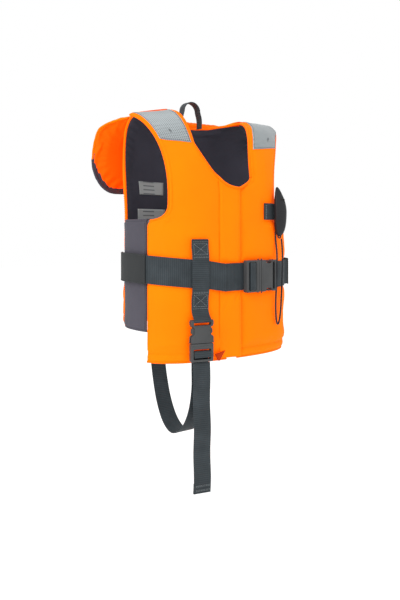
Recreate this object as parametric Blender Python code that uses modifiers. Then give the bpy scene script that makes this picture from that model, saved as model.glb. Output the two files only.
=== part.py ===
"""A child's foam life jacket: orange and grey vest, hinged collar, waist belt, crotch strap, zip and whistle.

Metres, +Z up, front towards -Y, the wearer's left towards +X. The jacket is drawn in its own frame, whose
height zero is the front hem, and hangs from the top of its carry loop, which is the world origin.
"""
from math import asin, cos, pi, radians, sin, sqrt

import bmesh
import bpy
from mathutils import Matrix, Vector

# Driving dimensions of the vest
FRONT_DEPTH = 0.076
BACK_DEPTH = 0.086
WAIST_HALF_WIDTH = 0.131
SHOULDER_HALF_WIDTH = {-1: 0.142, 1: 0.156}
ROUNDNESS = 2.6
RIDGE_Y = -0.005
RIDGE_Y_OUTER = 0.025
RIDGE_Z = 0.363
SHOULDER_SLOPE = {-1: 0.20, 1: -0.10}
SHOULDER_TILT = 0.06
FRONT_SPRING = 0.230
BACK_SPRING = 0.262
FRONT_ARCH = 1.9
BACK_ARCH = 2.8
ARMHOLE_BOTTOM = 0.199
SIDE_HEM = 0.043
BACK_HEM = 0.043
FRONT_SEAM_X = 0.1275
BACK_SEAM_X = 0.118
ARMHOLE_WAIST = {-1: 0.107, 1: 0.080}
ARMHOLE_CORNER = {-1: 0.022, 1: 0.036}
STRAP_OUTER_X = {-1: 0.125, 1: 0.148}
STRAP_FLARE = {-1: 2.6, 1: 2.4}
STRAP_FLARE_TOP = {-1: 0.363, 1: 0.350}
BACK_STRAP_X = {-1: 0.127, 1: 0.134}
FRONT_CLOTH_LENGTH = 0.395
BACK_CLOTH_LENGTH = 0.412
NECK_HALF_WIDTH = 0.065
NECK_BOTTOM = 0.248
NECK_FULL_Z = 0.310
NECK_LEFT_WAIST = 0.030
NAPE_RISE = 1.633
SEAM_GAP = 0.0007
RIDGE_GAP = 0.02

# Layers of the vest
CLOTH = 0.0008
LAYER_GAP = 0.0003
LINING_GAP = 0.0010
FOAM_EDGE = 0.004
FOAM_BODY = 0.020
FOAM_STRAP = 0.009
SIDE_PANEL_THICKNESS = 0.003

# Reflective patches, as shares of the strap: across it, and up it at the patch's bottom corners and top
PATCH_ACROSS = (0.07, 0.93)
PATCH_LOW = (0.755, 0.775)
PATCH_TOP = 0.975

# Zip, under a flap a little to the wearer's right of the centre
ZIP_X = -0.012
ZIP_HALF_GAP = 0.008
ZIP_TOP = 0.236
ZIP_BOTTOM = 0.002
TEETH_DEPTH = (0.0052, 0.0076)
TAPE_DEPTH = (0.0062, 0.0067)
FLAP_LEFT = 0.004
FLAP_RIGHT = -0.034

# Webbing
WEBBING = 0.0016
BELT_WIDTH = 0.040
BELT_OUT = 0.0016
BELT_FRONT_Z = 0.118
BELT_BACK_RISE = 0.014
BELT_SLEEVE_WIDTH = 0.042
CROTCH_WIDTH = 0.0262
CROTCH_X = -0.066
CROTCH_TOP = 0.172
CROTCH_OUT = 0.0010
CROTCH_OVER_BELT = 0.0036
TAIL_LENGTH = 0.182

# Buckles: pull direction is local -X, width local Y, thickness local Z
BELT_BUCKLE_YAW = radians(4)
BELT_BUCKLE_X = 0.035
BELT_BUCKLE_Y = -0.0765
CROTCH_BUCKLE_Z = 0.0272
BELT_BUCKLE = {"male": 0.029, "female": 0.032, "half": 0.0235, "web": 0.0205, "thick": 0.009}
CROTCH_BUCKLE = {"male": 0.026, "female": 0.033, "half": 0.0172, "web": 0.0131, "thick": 0.008}
ARM_START = 0.0009
ARM_PIVOT = 0.002

# Carry loop, collar, whistle
LOOP_HALF_SPAN = 0.0175
LOOP_Y = 0.040
LOOP_X = -0.004
LOOP_FOOT = 0.352
LOOP_TOP = 0.3875
LOOP_WEB = 0.014
COLLAR_HINGE = Vector((0, 0.057, 0.3565))
COLLAR_HALF_WIDTH = 0.132
COLLAR_HALF_THICKNESS = 0.0205
COLLAR_FOAM_INSET = 0.0018
TAB_Z = (0.199, 0.224)
TAB_X = (0.052, 0.082)
WHISTLE_Z = 0.214
WHISTLE_X = 0.078
WHISTLE_SIZE = (0.022, 0.012, 0.076)
WHISTLE_OUT = 0.0118
WHISTLE_TURN = 0.05
CORD_DIAMETER = 0.0028

HOOK = Vector((LOOP_X, LOOP_Y, LOOP_TOP))

COLOURS = {
    "orange_cloth": ((1.0, 0.27, 0.0), 0.8, 0.0),
    "grey_lining": ((0.09, 0.085, 0.11), 0.85, 0.0),
    "foam": ((0.85, 0.85, 0.82), 0.9, 0.0),
    "reflective": ((0.62, 0.65, 0.65), 0.35, 0.2),
    "webbing": ((0.06, 0.075, 0.085), 0.8, 0.0),
    "buckle_plastic": ((0.06, 0.065, 0.07), 0.45, 0.0),
    "zip_tape": ((0.5, 0.06, 0.0), 0.85, 0.0),
    "zip_plastic": ((0.04, 0.04, 0.045), 0.5, 0.0),
    "zip_metal": ((0.5, 0.5, 0.52), 0.3, 1.0),
    "label_cloth": ((0.6, 0.62, 0.62), 0.7, 0.0),
    "cord": ((0.03, 0.033, 0.036), 0.7, 0.0),
}


def start_scene():
    """Empties the scene and returns the jacket's own collection and its origin empty."""
    for thing in list(bpy.data.objects):
        bpy.data.objects.remove(thing, do_unlink=True)
    jacket = bpy.data.collections.new("life_jacket")
    bpy.context.scene.collection.children.link(jacket)
    origin = bpy.data.objects.new("jacket_origin", None)
    origin.location = -HOOK
    jacket.objects.link(origin)
    return jacket, origin


JACKET, ORIGIN = start_scene()
CUTTERS = bpy.data.collections.new("cutters")
bpy.context.scene.collection.children.link(CUTTERS)


def material(name):
    """The Principled material of one of the COLOURS, made once."""
    found = bpy.data.materials.get(name)
    if found:
        return found
    colour, roughness, metallic = COLOURS[name]
    made = bpy.data.materials.new(name)
    made.use_nodes = True
    shader = made.node_tree.nodes["Principled BSDF"]
    shader.inputs["Base Color"].default_value = (*colour, 1)
    shader.inputs["Roughness"].default_value = roughness
    shader.inputs["Metallic"].default_value = metallic
    return made


def pivot(name, point):
    """An empty on a joint's axis, at a point of the jacket's frame."""
    made = bpy.data.objects.new(name, None)
    made.parent = ORIGIN
    made.location = point
    JACKET.objects.link(made)
    return made


def add(name, mesh, finish, joint=None, smooth=True):
    """Links a mesh drawn in the jacket's frame, under the jacket's origin or under its joint's empty."""
    made = bpy.data.objects.new(name, mesh)
    mesh.materials.append(material(finish))
    JACKET.objects.link(made)
    made.parent = joint or ORIGIN
    if joint:
        made.location = -joint.location
    if smooth:
        mesh.shade_smooth()
        mesh.set_sharp_from_angle(angle=radians(35))
    return made


def signed_power(value, exponent):
    return abs(value) ** exponent * (1 if value >= 0 else -1)


def clamp(value, low=0.0, high=1.0):
    return min(max(value, low), high)


def ease(value):
    """Smooth step from 0 to 1."""
    value = clamp(value)
    return value * value * (3 - 2 * value)


def blend(a, b, share):
    return a + (b - a) * share


# --- The vest's outer surface -------------------------------------------------------------------

def half_width(z, across):
    """Half width of the cross-section at a height, on the side that across is on."""
    share = clamp((z - ARMHOLE_BOTTOM) / (RIDGE_Z - ARMHOLE_BOTTOM))
    return blend(WAIST_HALF_WIDTH, SHOULDER_HALF_WIDTH[1 if across > 0 else -1], share ** 1.5)


def side_of(angle):
    """Depth, spring height and arch exponent of the front or the back."""
    if cos(angle) >= 0:
        return FRONT_DEPTH, FRONT_SPRING, FRONT_ARCH
    return BACK_DEPTH, BACK_SPRING, BACK_ARCH


def level(angle, rise):
    """Height of a rise of the surface before the shoulders' slope, with its shrink and its lift."""
    _, spring, arch = side_of(angle)
    turn = (clamp(rise, 1, 2) - 1) * pi / 2
    lift = sin(turn) ** (2 / arch)
    shrink = max(cos(turn), 0.0) ** (2 / arch)
    return min(rise, 1) * spring + (RIDGE_Z - spring) * lift, shrink, lift


def skin(angle, rise):
    """A point of the outer surface.

    angle goes round the body: 0 is the front's centre, 90 degrees the wearer's left, 180 the back's centre.
    rise goes up it: 0 is the hem line, 1 where the panel starts to lean over, 2 the ridge of the shoulders.
    """
    depth = side_of(angle)[0]
    z, shrink, lift = level(angle, rise)
    x = half_width(z, sin(angle)) * signed_power(sin(angle), 2 / ROUNDNESS)
    ridge_y = blend(RIDGE_Y, RIDGE_Y_OUTER, clamp((abs(x) - 0.045) / 0.077))
    y = ridge_y * (1 - shrink) - depth * signed_power(cos(angle), 2 / ROUNDNESS) * shrink
    slope = SHOULDER_SLOPE[1 if x > 0 else -1] * max(abs(x) - NECK_HALF_WIDTH, 0) + SHOULDER_TILT * x
    return Vector((x, y, z - lift * slope))


def outward(angle, rise):
    """The surface's outward normal."""
    step = 0.004
    across = skin(angle + step, rise) - skin(angle - step, rise)
    up = skin(angle, min(rise + step, 2)) - skin(angle, min(rise, 2 - step) - step)
    return across.cross(up).normalized()


def off_skin(angle, rise, out):
    """A point standing out from the surface, or in from it where out is negative."""
    return skin(angle, rise) + outward(angle, rise) * out


def angle_at(x, z, back=False):
    """The angle round the body of a point x from the middle, at a height."""
    share = clamp(abs(x) / half_width(z, x))
    angle = asin(share ** (ROUNDNESS / 2)) * (1 if x >= 0 else -1)
    return pi - angle if back else angle


def ring(angle, z, out):
    """A point off the straight lower part of the vest, at a height."""
    return off_skin(angle, z / side_of(angle)[1], out)


def climb(share, spring, total):
    """Rise for a share of the way up a panel, at an even pace along its cloth."""
    straight = spring / total
    if share < straight:
        return share / straight
    return 1 + (share - straight) / (1 - straight)


# --- Panels -------------------------------------------------------------------------------------

def neck_edge(side, z):
    """Half width of the front's neck opening at a height: wide on the right, leaning outwards on the left."""
    if side < 0:
        return NECK_HALF_WIDTH * clamp((z - NECK_BOTTOM) / (NECK_FULL_Z - NECK_BOTTOM)) ** 0.45
    low = clamp((z - NECK_BOTTOM) / 0.014) ** 0.5
    high = clamp((z - NECK_BOTTOM - 0.014) / (RIDGE_Z - NECK_BOTTOM - 0.014)) ** 2.1
    return NECK_LEFT_WAIST * low + (NECK_HALF_WIDTH - NECK_LEFT_WAIST) * high


def front_armhole_edge(side, z):
    """Outer edge of a front half: side seam below, armhole above. The two sides hang differently."""
    corner = clamp((z - ARMHOLE_BOTTOM) / ARMHOLE_CORNER[side])
    scoop = (FRONT_SEAM_X - ARMHOLE_WAIST[side]) * sqrt(1 - (1 - corner) ** 2)
    flare = clamp((z - 0.235) / (STRAP_FLARE_TOP[side] - 0.235)) ** STRAP_FLARE[side]
    return FRONT_SEAM_X - scoop + (STRAP_OUTER_X[side] - ARMHOLE_WAIST[side]) * flare


def back_armhole_edge(side, z):
    """Outer edge of the back, which meets the front half's edge at the shoulder's ridge."""
    wide = blend(BACK_SEAM_X, BACK_STRAP_X[side], ease((z - ARMHOLE_BOTTOM) / 0.080))
    return wide - (BACK_STRAP_X[side] - STRAP_OUTER_X[side]) * ease((z - 0.336) / 0.027)


def front_place(side, u, v):
    """Angle and rise on a front half: side -1 is the wearer's right, u runs outwards and v upwards."""
    rise = climb(v, FRONT_SPRING, FRONT_CLOTH_LENGTH)
    z = level(0, rise)[0]
    inner = ZIP_X + side * max(ZIP_HALF_GAP, neck_edge(side, z) - side * ZIP_X)
    outer = side * (front_armhole_edge(side, z) - SEAM_GAP)
    start, end = angle_at(inner, z), angle_at(outer, z)
    return blend(start, end, u), min(rise, 2 - RIDGE_GAP)


def back_place(u, v):
    """Angle and rise on the back: u runs from the wearer's left to the right, v upwards."""
    share = blend(BACK_HEM / BACK_CLOTH_LENGTH, 1, v)
    rise = climb(share, BACK_SPRING, BACK_CLOTH_LENGTH)
    z = level(pi, rise)[0]
    start = angle_at(back_armhole_edge(1, z) - SEAM_GAP, z, back=True)
    end = 2 * pi - angle_at(back_armhole_edge(-1, z) - SEAM_GAP, z, back=True)
    angle = blend(start, end, u)
    if rise > 1:
        x = half_width(z, sin(angle)) * signed_power(sin(angle), 2 / ROUNDNESS)
        dip = (2 - NAPE_RISE) * sqrt(1 - clamp(abs(x) / NECK_HALF_WIDTH) ** 2)
        rise = 1 + (rise - 1) * (1 - dip)
    return angle, min(rise, 2 - RIDGE_GAP)


def plump(u, v, body):
    """Foam thickness over a panel: thin at its edges and in the straps."""
    middle = blend(body, FOAM_STRAP, ease((v - 0.5) / 0.25))
    full = (1 - abs(2 * u - 1) ** 3) * (1 - abs(2 * v - 1) ** 4)
    return FOAM_EDGE + (middle - FOAM_EDGE) * full


def sheet(name, columns, rows, face, thickness, finish, flip=False, joint=None):
    """A closed sheet: face(u, v) is its outer face, and its thickness goes inwards.

    thickness is one number or a function of u and v.
    """
    varied = callable(thickness)
    thickest = 2 * FOAM_BODY if varied else thickness
    build = bmesh.new()
    bmesh.ops.create_grid(build, x_segments=columns, y_segments=rows, size=1)
    weights = build.verts.layers.deform.verify()
    for vert in build.verts:
        u, v = (vert.co.x + 1) / 2, (vert.co.y + 1) / 2
        vert.co = face(u, v)
        vert[weights][0] = thickness(u, v) / thickest if varied else 1.0
    if flip:
        bmesh.ops.reverse_faces(build, faces=build.faces)
    mesh = bpy.data.meshes.new(name)
    build.to_mesh(mesh)
    build.free()
    made = add(name, mesh, finish, joint)
    made.vertex_groups.new(name="thickness")
    solid = made.modifiers.new("thickness", "SOLIDIFY")
    solid.thickness = thickest
    solid.offset = -1
    if varied:
        solid.vertex_group = "thickness"
    return made


def layered_panel(label, columns, rows, place, body, shell_finish, flip):
    """Outer shell, foam and lining of one panel, whose edges line up."""
    thick = CLOTH + LAYER_GAP

    def foam_thickness(u, v):
        return plump(u, v, body)

    def at_depth(depth):
        return lambda u, v: off_skin(*place(u, v), -depth)

    def lining_face(u, v):
        return off_skin(*place(u, v), -(thick + foam_thickness(u, v) + LINING_GAP))

    shell, foam, lining = label
    sheet(shell, columns, rows, at_depth(0), CLOTH, shell_finish, flip)
    sheet(foam, columns, rows, at_depth(thick), foam_thickness, "foam", flip)
    sheet(lining, columns, rows, lining_face, CLOTH, "grey_lining", flip)


def make_vest():
    for side, word in ((-1, "right"), (1, "left")):
        label = [f"front_{layer}_{word}" for layer in ("shell", "foam", "lining")]

        def place(u, v, side=side):
            return front_place(side, u, v)

        layered_panel(label, 6, 20, place, FOAM_BODY, "orange_cloth", side < 0)
    label = ["back_shell", "back_foam", "back_lining"]
    layered_panel(label, 14, 18, back_place, FOAM_BODY, "orange_cloth", False)


def make_side_panels():
    for side, word in ((-1, "right"), (1, "left")):
        def face(u, v, side=side):
            z = blend(SIDE_HEM, ARMHOLE_BOTTOM - 0.001, v)
            start = angle_at(FRONT_SEAM_X + SEAM_GAP, z)
            end = angle_at(BACK_SEAM_X + SEAM_GAP, z, back=True)
            return ring(side * blend(start, end, u), z, 0)

        sheet(f"side_panel_{word}", 8, 5, face, SIDE_PANEL_THICKNESS, "grey_lining", side < 0)


def make_reflective_patches():
    """A patch on the front of each shoulder strap, short of the strap's edges."""
    for side, word in ((-1, "right"), (1, "left")):
        def face(u, v, side=side):
            low = blend(*PATCH_LOW, u)
            return off_skin(*front_place(side, blend(*PATCH_ACROSS, u), blend(low, PATCH_TOP, v)), 0.0009)

        sheet(f"reflective_patch_{word}", 6, 8, face, 0.0005, "reflective", side < 0)


def make_labels():
    """Two cloth labels sewn to the inside of the back lining."""
    places = {"size_label": ((0.70, 0.86), (0.56, 0.62)), "care_label": ((0.68, 0.88), (0.36, 0.50))}
    for name, ((left, right), (low, high)) in places.items():
        def face(u, v):
            across, up = blend(left, right, u), blend(low, high, v)
            depth = 2 * CLOTH + LAYER_GAP + LINING_GAP + 0.0008 + plump(across, up, FOAM_BODY)
            return off_skin(*back_place(across, up), -depth)

        sheet(name, 5, 4, face, 0.0004, "label_cloth")


# --- Zip ----------------------------------------------------------------------------------------

def block(name, low, high, finish, joint=None):
    """A plain box between two corners of the jacket's frame."""
    build = bmesh.new()
    bmesh.ops.create_cube(build, size=1)
    low, high = Vector(low), Vector(high)
    size = high - low
    bmesh.ops.scale(build, vec=size, verts=build.verts)
    bmesh.ops.translate(build, vec=(low + high) / 2, verts=build.verts)
    mesh = bpy.data.meshes.new(name)
    build.to_mesh(mesh)
    build.free()
    return add(name, mesh, finish, joint, smooth=False)


def cutter(low, high):
    made = block("cutter", low, high, "zip_plastic")
    JACKET.objects.unlink(made)
    CUTTERS.objects.link(made)
    made.hide_render = True
    made.display_type = "WIRE"
    return made


def combine(target, other, operation):
    """Applies a Boolean of the target with another object, which is then removed."""
    change = target.modifiers.new(operation.lower(), "BOOLEAN")
    change.operation = operation
    change.solver = "EXACT"
    change.object = other
    bpy.context.view_layer.update()
    graph = bpy.context.evaluated_depsgraph_get()
    result = bpy.data.meshes.new_from_object(target.evaluated_get(graph), depsgraph=graph)
    target.modifiers.clear()
    target.data = result
    bpy.data.objects.remove(other, do_unlink=True)


def make_zip():
    """Tapes between the front halves, a row of teeth on each, and a slider that straddles the teeth."""
    front = skin(0, 0.5).y
    for side, word in ((-1, "right"), (1, "left")):
        inner, outer = ZIP_X + side * 0.0033, ZIP_X + side * 0.0074
        low, high = sorted((inner, outer))
        block(f"zip_tape_{word}", (low, front + TAPE_DEPTH[0], ZIP_BOTTOM - 0.004),
              (high, front + TAPE_DEPTH[1], ZIP_TOP), "zip_tape")
        low, high = sorted((ZIP_X + side * 0.0007, ZIP_X + side * 0.0030))
        block(f"zip_teeth_{word}", (low, front + TEETH_DEPTH[0], ZIP_BOTTOM),
              (high, front + TEETH_DEPTH[1], ZIP_TOP), "zip_plastic")
    travel = pivot("zip_slide_axis", (ZIP_X, front, ZIP_TOP - 0.006))
    low_z, high_z = ZIP_TOP - 0.013, ZIP_TOP + 0.001
    slider = block("zip_slider", (ZIP_X - 0.0046, front + 0.0036, low_z),
                   (ZIP_X + 0.0046, front + 0.0096, high_z), "zip_metal", travel)
    channels = (
        ((ZIP_X - 0.02, front + 0.0048, low_z - 0.01), (ZIP_X - 0.0004, front + 0.0084, high_z + 0.01)),
        ((ZIP_X + 0.0004, front + 0.0048, low_z - 0.01), (ZIP_X + 0.02, front + 0.0084, high_z + 0.01)),
    )
    for low, high in channels:
        combine(slider, cutter_for(slider, low, high), "DIFFERENCE")
    hang = pivot("zip_pull_axis", (ZIP_X, front + 0.0026, ZIP_TOP - 0.004))
    block("zip_pull", (ZIP_X - 0.0025, front + 0.0020, ZIP_TOP - 0.026),
          (ZIP_X + 0.0025, front + 0.0032, ZIP_TOP - 0.003), "zip_metal", hang)


def cutter_for(target, low, high):
    """A box cutter in the place where the target's own parent holds it."""
    made = cutter(low, high)
    made.parent = target.parent
    made.location = target.location
    return made


def make_flap():
    """The cloth flap over the zip, its free edge down the middle of the front."""
    def face(u, v):
        z = blend(0.004, NECK_BOTTOM - 0.004, v)
        rise = min(z / FRONT_SPRING, 1)
        if z > FRONT_SPRING:
            lift = (z - FRONT_SPRING) / (RIDGE_Z - FRONT_SPRING)
            rise = 1 + asin(lift ** (FRONT_ARCH / 2)) / (pi / 2)
        return off_skin(angle_at(blend(FLAP_RIGHT, FLAP_LEFT, u), z), rise, 0.0013)

    sheet("storm_flap", 4, 14, face, CLOTH, "orange_cloth")


# --- Belt ---------------------------------------------------------------------------------------

def belt_height(angle):
    """Height of the belt's middle: level over the front's left half, rising to the right and the back."""
    if angle > pi:
        angle -= 2 * pi
    if angle < 0:
        turn = clamp(-angle / (pi / 2))
        return BELT_FRONT_Z + BELT_BACK_RISE * turn * (1.6 - 0.6 * turn)
    return BELT_FRONT_Z + BELT_BACK_RISE * ease((angle - pi / 3) / (pi * 2 / 3))


def belt_buckle_frame():
    """Local axes of the belt's buckle: X along the belt, Y up, Z out."""
    along = Vector((cos(BELT_BUCKLE_YAW), sin(BELT_BUCKLE_YAW), 0))
    out = Vector((sin(BELT_BUCKLE_YAW), -cos(BELT_BUCKLE_YAW), 0))
    return local_frame(along, out, Vector((BELT_BUCKLE_X, BELT_BUCKLE_Y, BELT_FRONT_Z)))


def local_frame(along, out, origin):
    across = out.cross(along)
    rotation = Matrix((along, across, out)).transposed().to_4x4()
    return Matrix.Translation(origin) @ rotation


def run_strip(name, points, ups, width, finish, joint=None, flip=False, thickness=WEBBING):
    """A strip of webbing through points on its outer face; ups are the directions across it."""
    last = len(points) - 1

    def face(u, v):
        index = round(u * last)
        return points[index] + ups[index] * (v - 0.5) * width

    return sheet(name, last, 1, face, thickness, finish, flip, joint)


def ring_strip(name, start, end, steps, out, width, finish, lead_in=(), lead_out=(), thickness=WEBBING):
    """A strip round the body from one angle to another, with extra points before and after it."""
    points = list(lead_in)
    for step in range(steps + 1):
        angle = blend(start, end, step / steps)
        points.append(ring(angle, belt_height(angle), out))
    points += lead_out
    ups = [Vector((0, 0, 1))] * len(points)
    return run_strip(name, points, ups, width, finish, thickness=thickness)


def make_belt():
    """The belt's three runs, meeting inside the side sleeves, and the sleeves."""
    frame = belt_buckle_frame()
    out = BELT_OUT + WEBBING
    straight_end = [frame @ Vector((x, 0, WEBBING)) for x in (-0.060, -0.030, -0.010)]
    tail = [frame @ Vector((x, 0, WEBBING)) for x in (0.018, 0.0315)]
    ring_strip("belt_front", radians(-111), angle_at(-0.036, BELT_FRONT_Z), 16, out, BELT_WIDTH, "webbing",
               lead_out=straight_end)
    ring_strip("belt_side", angle_at(0.090, BELT_FRONT_Z), radians(111), 9, out, BELT_WIDTH, "webbing",
               lead_in=tail)
    ring_strip("belt_back", radians(111.6), radians(360 - 111.6), 24, out, BELT_WIDTH, "webbing")
    for side, word in ((-1, "right"), (1, "left")):
        start, end = sorted((side * angle_at(0.127, BELT_FRONT_Z), side * radians(126)))
        ring_strip(f"belt_sleeve_{word}", start, end, 9, out + 0.0016, BELT_SLEEVE_WIDTH, "webbing",
                   thickness=0.0012)


# --- Buckles ------------------------------------------------------------------------------------

def outline(name, loops, low, high, finish, frame, joint=None):
    """A flat outline with holes, extruded from one local height to another and placed by a frame."""
    curve = bpy.data.curves.new(name, "CURVE")
    curve.dimensions = "2D"
    curve.fill_mode = "BOTH"
    curve.extrude = (high - low) / 2
    for loop in loops:
        spline = curve.splines.new("POLY")
        spline.points.add(len(loop) - 1)
        for point, (x, y) in zip(spline.points, loop):
            point.co = (x, y, 0, 1)
        spline.use_cyclic_u = True
    source = bpy.data.objects.new(name + "_outline", curve)
    CUTTERS.objects.link(source)
    bpy.context.view_layer.update()
    graph = bpy.context.evaluated_depsgraph_get()
    mesh = bpy.data.meshes.new_from_object(source.evaluated_get(graph), depsgraph=graph)
    bpy.data.objects.remove(source, do_unlink=True)
    build = bmesh.new()
    build.from_mesh(mesh)
    bmesh.ops.remove_doubles(build, verts=build.verts, dist=1e-6)
    bmesh.ops.translate(build, vec=(0, 0, (low + high) / 2), verts=build.verts)
    bmesh.ops.transform(build, matrix=frame, verts=build.verts)
    bmesh.ops.recalc_face_normals(build, faces=build.faces)
    build.to_mesh(mesh)
    build.free()
    mesh.name = name
    mesh.materials.clear()
    return add(name, mesh, finish, joint, smooth=False)


def rectangle(x0, x1, half, corner=0.0):
    """A rectangle from x0 to x1 and as wide as two halves, its corners cut at 45 degrees."""
    if not corner:
        return [(x0, -half), (x1, -half), (x1, half), (x0, half)]
    return [(x0 + corner, -half), (x1 - corner, -half), (x1, -half + corner), (x1, half - corner),
            (x1 - corner, half), (x0 + corner, half), (x0, half - corner), (x0, -half + corner)]


def waisted(length, half, waist):
    """The female half's outline: full at the mouth and the end, drawn in at the latch windows."""
    right = [(0.0003, half), (length * 0.30, half), (length * 0.40, waist), (length * 0.66, waist),
             (length * 0.76, half), (length - 0.003, half), (length, half - 0.003)]
    return right + [(x, -y) for x, y in reversed(right)]


def make_buckle(name, size, frame, arm_words):
    """A side-release buckle: female half, male half with ladder slots and a guide tongue, and two arms."""
    base = WEBBING + LAYER_GAP
    top = base + size["thick"]
    half, web, male, female = size["half"], size["web"], size["male"], size["female"]
    cavity = (base + 0.0018, top - 0.0018)
    body = outline(f"{name}_female", [waisted(female, half, half - 0.005),
                                      rectangle(female * 0.84, female * 0.93, web)],
                   base, top, "buckle_plastic", frame)
    space = [rectangle(-0.01, female * 0.76, half + 0.01)]
    hollow = outline("hollow", space, *cavity, "buckle_plastic", frame)
    combine(body, hollow, "DIFFERENCE")
    travel = pivot(f"{name}_release_axis", frame.translation)
    ladder = [rectangle(-male, 0, half, 0.002)]
    ladder += [rectangle(-male * share - 0.002, -male * share + 0.002, web) for share in (0.78, 0.40)]
    grip = outline(f"{name}_male", ladder, base, top, "buckle_plastic", frame, travel)
    slim = (cavity[0] + 0.0003, cavity[1] - 0.0003)
    tongue = outline("tongue", [rectangle(-0.002, female * 0.62, half * 0.2)], *slim, "buckle_plastic", frame)
    combine(grip, tongue, "UNION")
    for sign, word in zip((1, -1), arm_words):
        axis = frame @ Vector((ARM_PIVOT, sign * half * 0.68, 0))
        hinge = pivot(f"{name}_arm_{word}_axis", axis)
        tip, head = female * 0.69, half - 0.0015
        path = [(ARM_START, half * 0.60), (female * 0.40, half * 0.60),
                (tip, half * 0.56), (tip, half * 0.80),
                (female * 0.62, head), (female * 0.44, head), (female * 0.38, half * 0.80),
                (ARM_START, half * 0.80)]
        loop = [(x, sign * y) for x, y in path]
        outline(f"{name}_arm_{word}", [loop], *slim, "buckle_plastic", frame, hinge)
    make_bar_wrap(name, size, frame, base, top, travel)


def make_bar_wrap(name, size, frame, base, top, travel):
    """The webbing turned over the male half's middle bar, in at one slot and out at the other."""
    slots = [-size["male"] * share for share in (0.78, 0.40)]
    path = [(slots[0] + 0.0002, base + 0.001), (slots[0] + 0.0002, top + 0.0006),
            (slots[0] + 0.0022, top + 0.0020), (slots[1] - 0.0022, top + 0.0020),
            (slots[1] - 0.0002, top + 0.0006), (slots[1] - 0.0002, base + 0.001)]
    points = [frame @ Vector((x, 0, z)) for x, z in path]
    across = (frame.to_3x3() @ Vector((0, 1, 0))).normalized()
    width = 2 * size["web"] - 0.001
    label = name.replace("_buckle", "_bar_wrap")
    run_strip(label, points, [across] * len(points), width, "webbing", travel, thickness=0.0011)


# --- Crotch strap -------------------------------------------------------------------------------

def crotch_angle(z):
    return angle_at(CROTCH_X, z)


def crotch_buckle_frame():
    """Local axes of the crotch buckle: X up, Z out of the front panel."""
    angle = crotch_angle(CROTCH_BUCKLE_Z)
    out = outward(angle, 0.3)
    out.z = 0
    origin = ring(angle, CROTCH_BUCKLE_Z, CROTCH_OUT)
    return local_frame(Vector((0, 0, 1)), out.normalized(), origin)


def make_crotch_strap():
    frame = crotch_buckle_frame()
    across = (frame.to_3x3() @ Vector((0, 1, 0))).normalized()
    points = []
    low = CROTCH_BUCKLE_Z + 0.022
    for step in range(17):
        z = blend(low, CROTCH_TOP, step / 16)
        near_belt = 1 - ease((abs(z - 0.125) - 0.024) / 0.014)
        out = blend(CROTCH_OUT, CROTCH_OVER_BELT, near_belt) + WEBBING
        points.append(ring(crotch_angle(z), z, out))
    run_strip("crotch_front_strap", points, [across] * len(points), CROTCH_WIDTH, "webbing")
    make_buckle("crotch_buckle", CROTCH_BUCKLE, frame, ("right", "left"))
    make_crotch_loop(frame)
    make_crotch_tail(frame, across)


def smooth_path(route, count):
    """Evenly numbered points on a Catmull-Rom curve through a route."""
    ends = [route[0] * 2 - route[1]] + list(route) + [route[-1] * 2 - route[-2]]
    spans = len(route) - 1
    points = []
    for step in range(count + 1):
        place = min(step / count * spans, spans - 1e-9)
        k, t = int(place), place - int(place)
        a, b, c, d = ends[k:k + 4]
        points.append(0.5 * (2 * b + (c - a) * t + (2 * a - 5 * b + 4 * c - d) * t * t
                             + (3 * b - a - 3 * c + d) * t * t * t))
    return points


CROTCH_LOOP_ROUTE = (
    (-0.0665, -0.0745, 0.018), (-0.0665, -0.0740, -0.006), (-0.0668, -0.0725, -0.040),
    (-0.0672, -0.0640, -0.074), (-0.0660, -0.0440, -0.100), (-0.0620, -0.0140, -0.112),
    (-0.0570, 0.0160, -0.104), (-0.0530, 0.0400, -0.080), (-0.0505, 0.0560, -0.046),
    (-0.0490, 0.0660, -0.008), (-0.0480, 0.0730, 0.038),
)


def make_crotch_loop(frame):
    """The strap from behind the male half, under, and up to the hem of the back."""
    joint = bpy.data.objects["crotch_buckle_release_axis"]
    route = [Vector(point) for point in CROTCH_LOOP_ROUTE]
    top = frame @ Vector((-0.004, 0, WEBBING - 0.0001))
    shift = top - route[0]
    route[0] = top
    route[1] += Vector((shift.x, shift.y, 0))
    points = smooth_path(route, 40)
    front = (frame.to_3x3() @ Vector((0, 1, 0))).normalized()
    ups = []
    for index in range(len(points)):
        turned = front.lerp(Vector((-1, 0, 0)), index / (len(points) - 1))
        ups.append(turned.normalized())
    run_strip("crotch_strap_loop", points, ups, CROTCH_WIDTH, "webbing", joint, True, WEBBING * 0.9)


def make_crotch_tail(frame, across):
    """The strap's free end, hanging in front from the male half's lower bar."""
    top = frame @ Vector((-CROTCH_BUCKLE["male"] - 0.001, 0, 0.0064))
    hinge = pivot("tail_swing_axis", top)
    points = []
    for step in range(11):
        share = step / 10
        points.append(top + Vector((-0.002 * share, -0.004 * sin(share * pi / 2), -TAIL_LENGTH * share)))
    run_strip("crotch_strap_tail", points, [across] * len(points), CROTCH_WIDTH, "webbing", hinge, flip=True)


# --- Carry loop, collar, whistle ----------------------------------------------------------------

def make_carry_loop():
    """A loop of webbing standing up from the nape, its width front to back."""
    points = [Vector((-LOOP_HALF_SPAN, LOOP_Y, LOOP_FOOT + step)) for step in (0, 0.010)]
    bend = 0.0145
    for step in range(11):
        turn = pi * (1 - step / 10)
        points.append(Vector((bend * cos(turn), LOOP_Y, LOOP_TOP - bend + bend * sin(turn))))
    points += [Vector((-point.x, point.y, point.z)) for point in reversed(points[:2])]
    points = [point + Vector((LOOP_X, 0, 0)) for point in points]
    ups = [Vector((0, 1, 0))] * len(points)
    run_strip("carry_loop", points, ups, LOOP_WEB, "webbing", flip=True)


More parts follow.
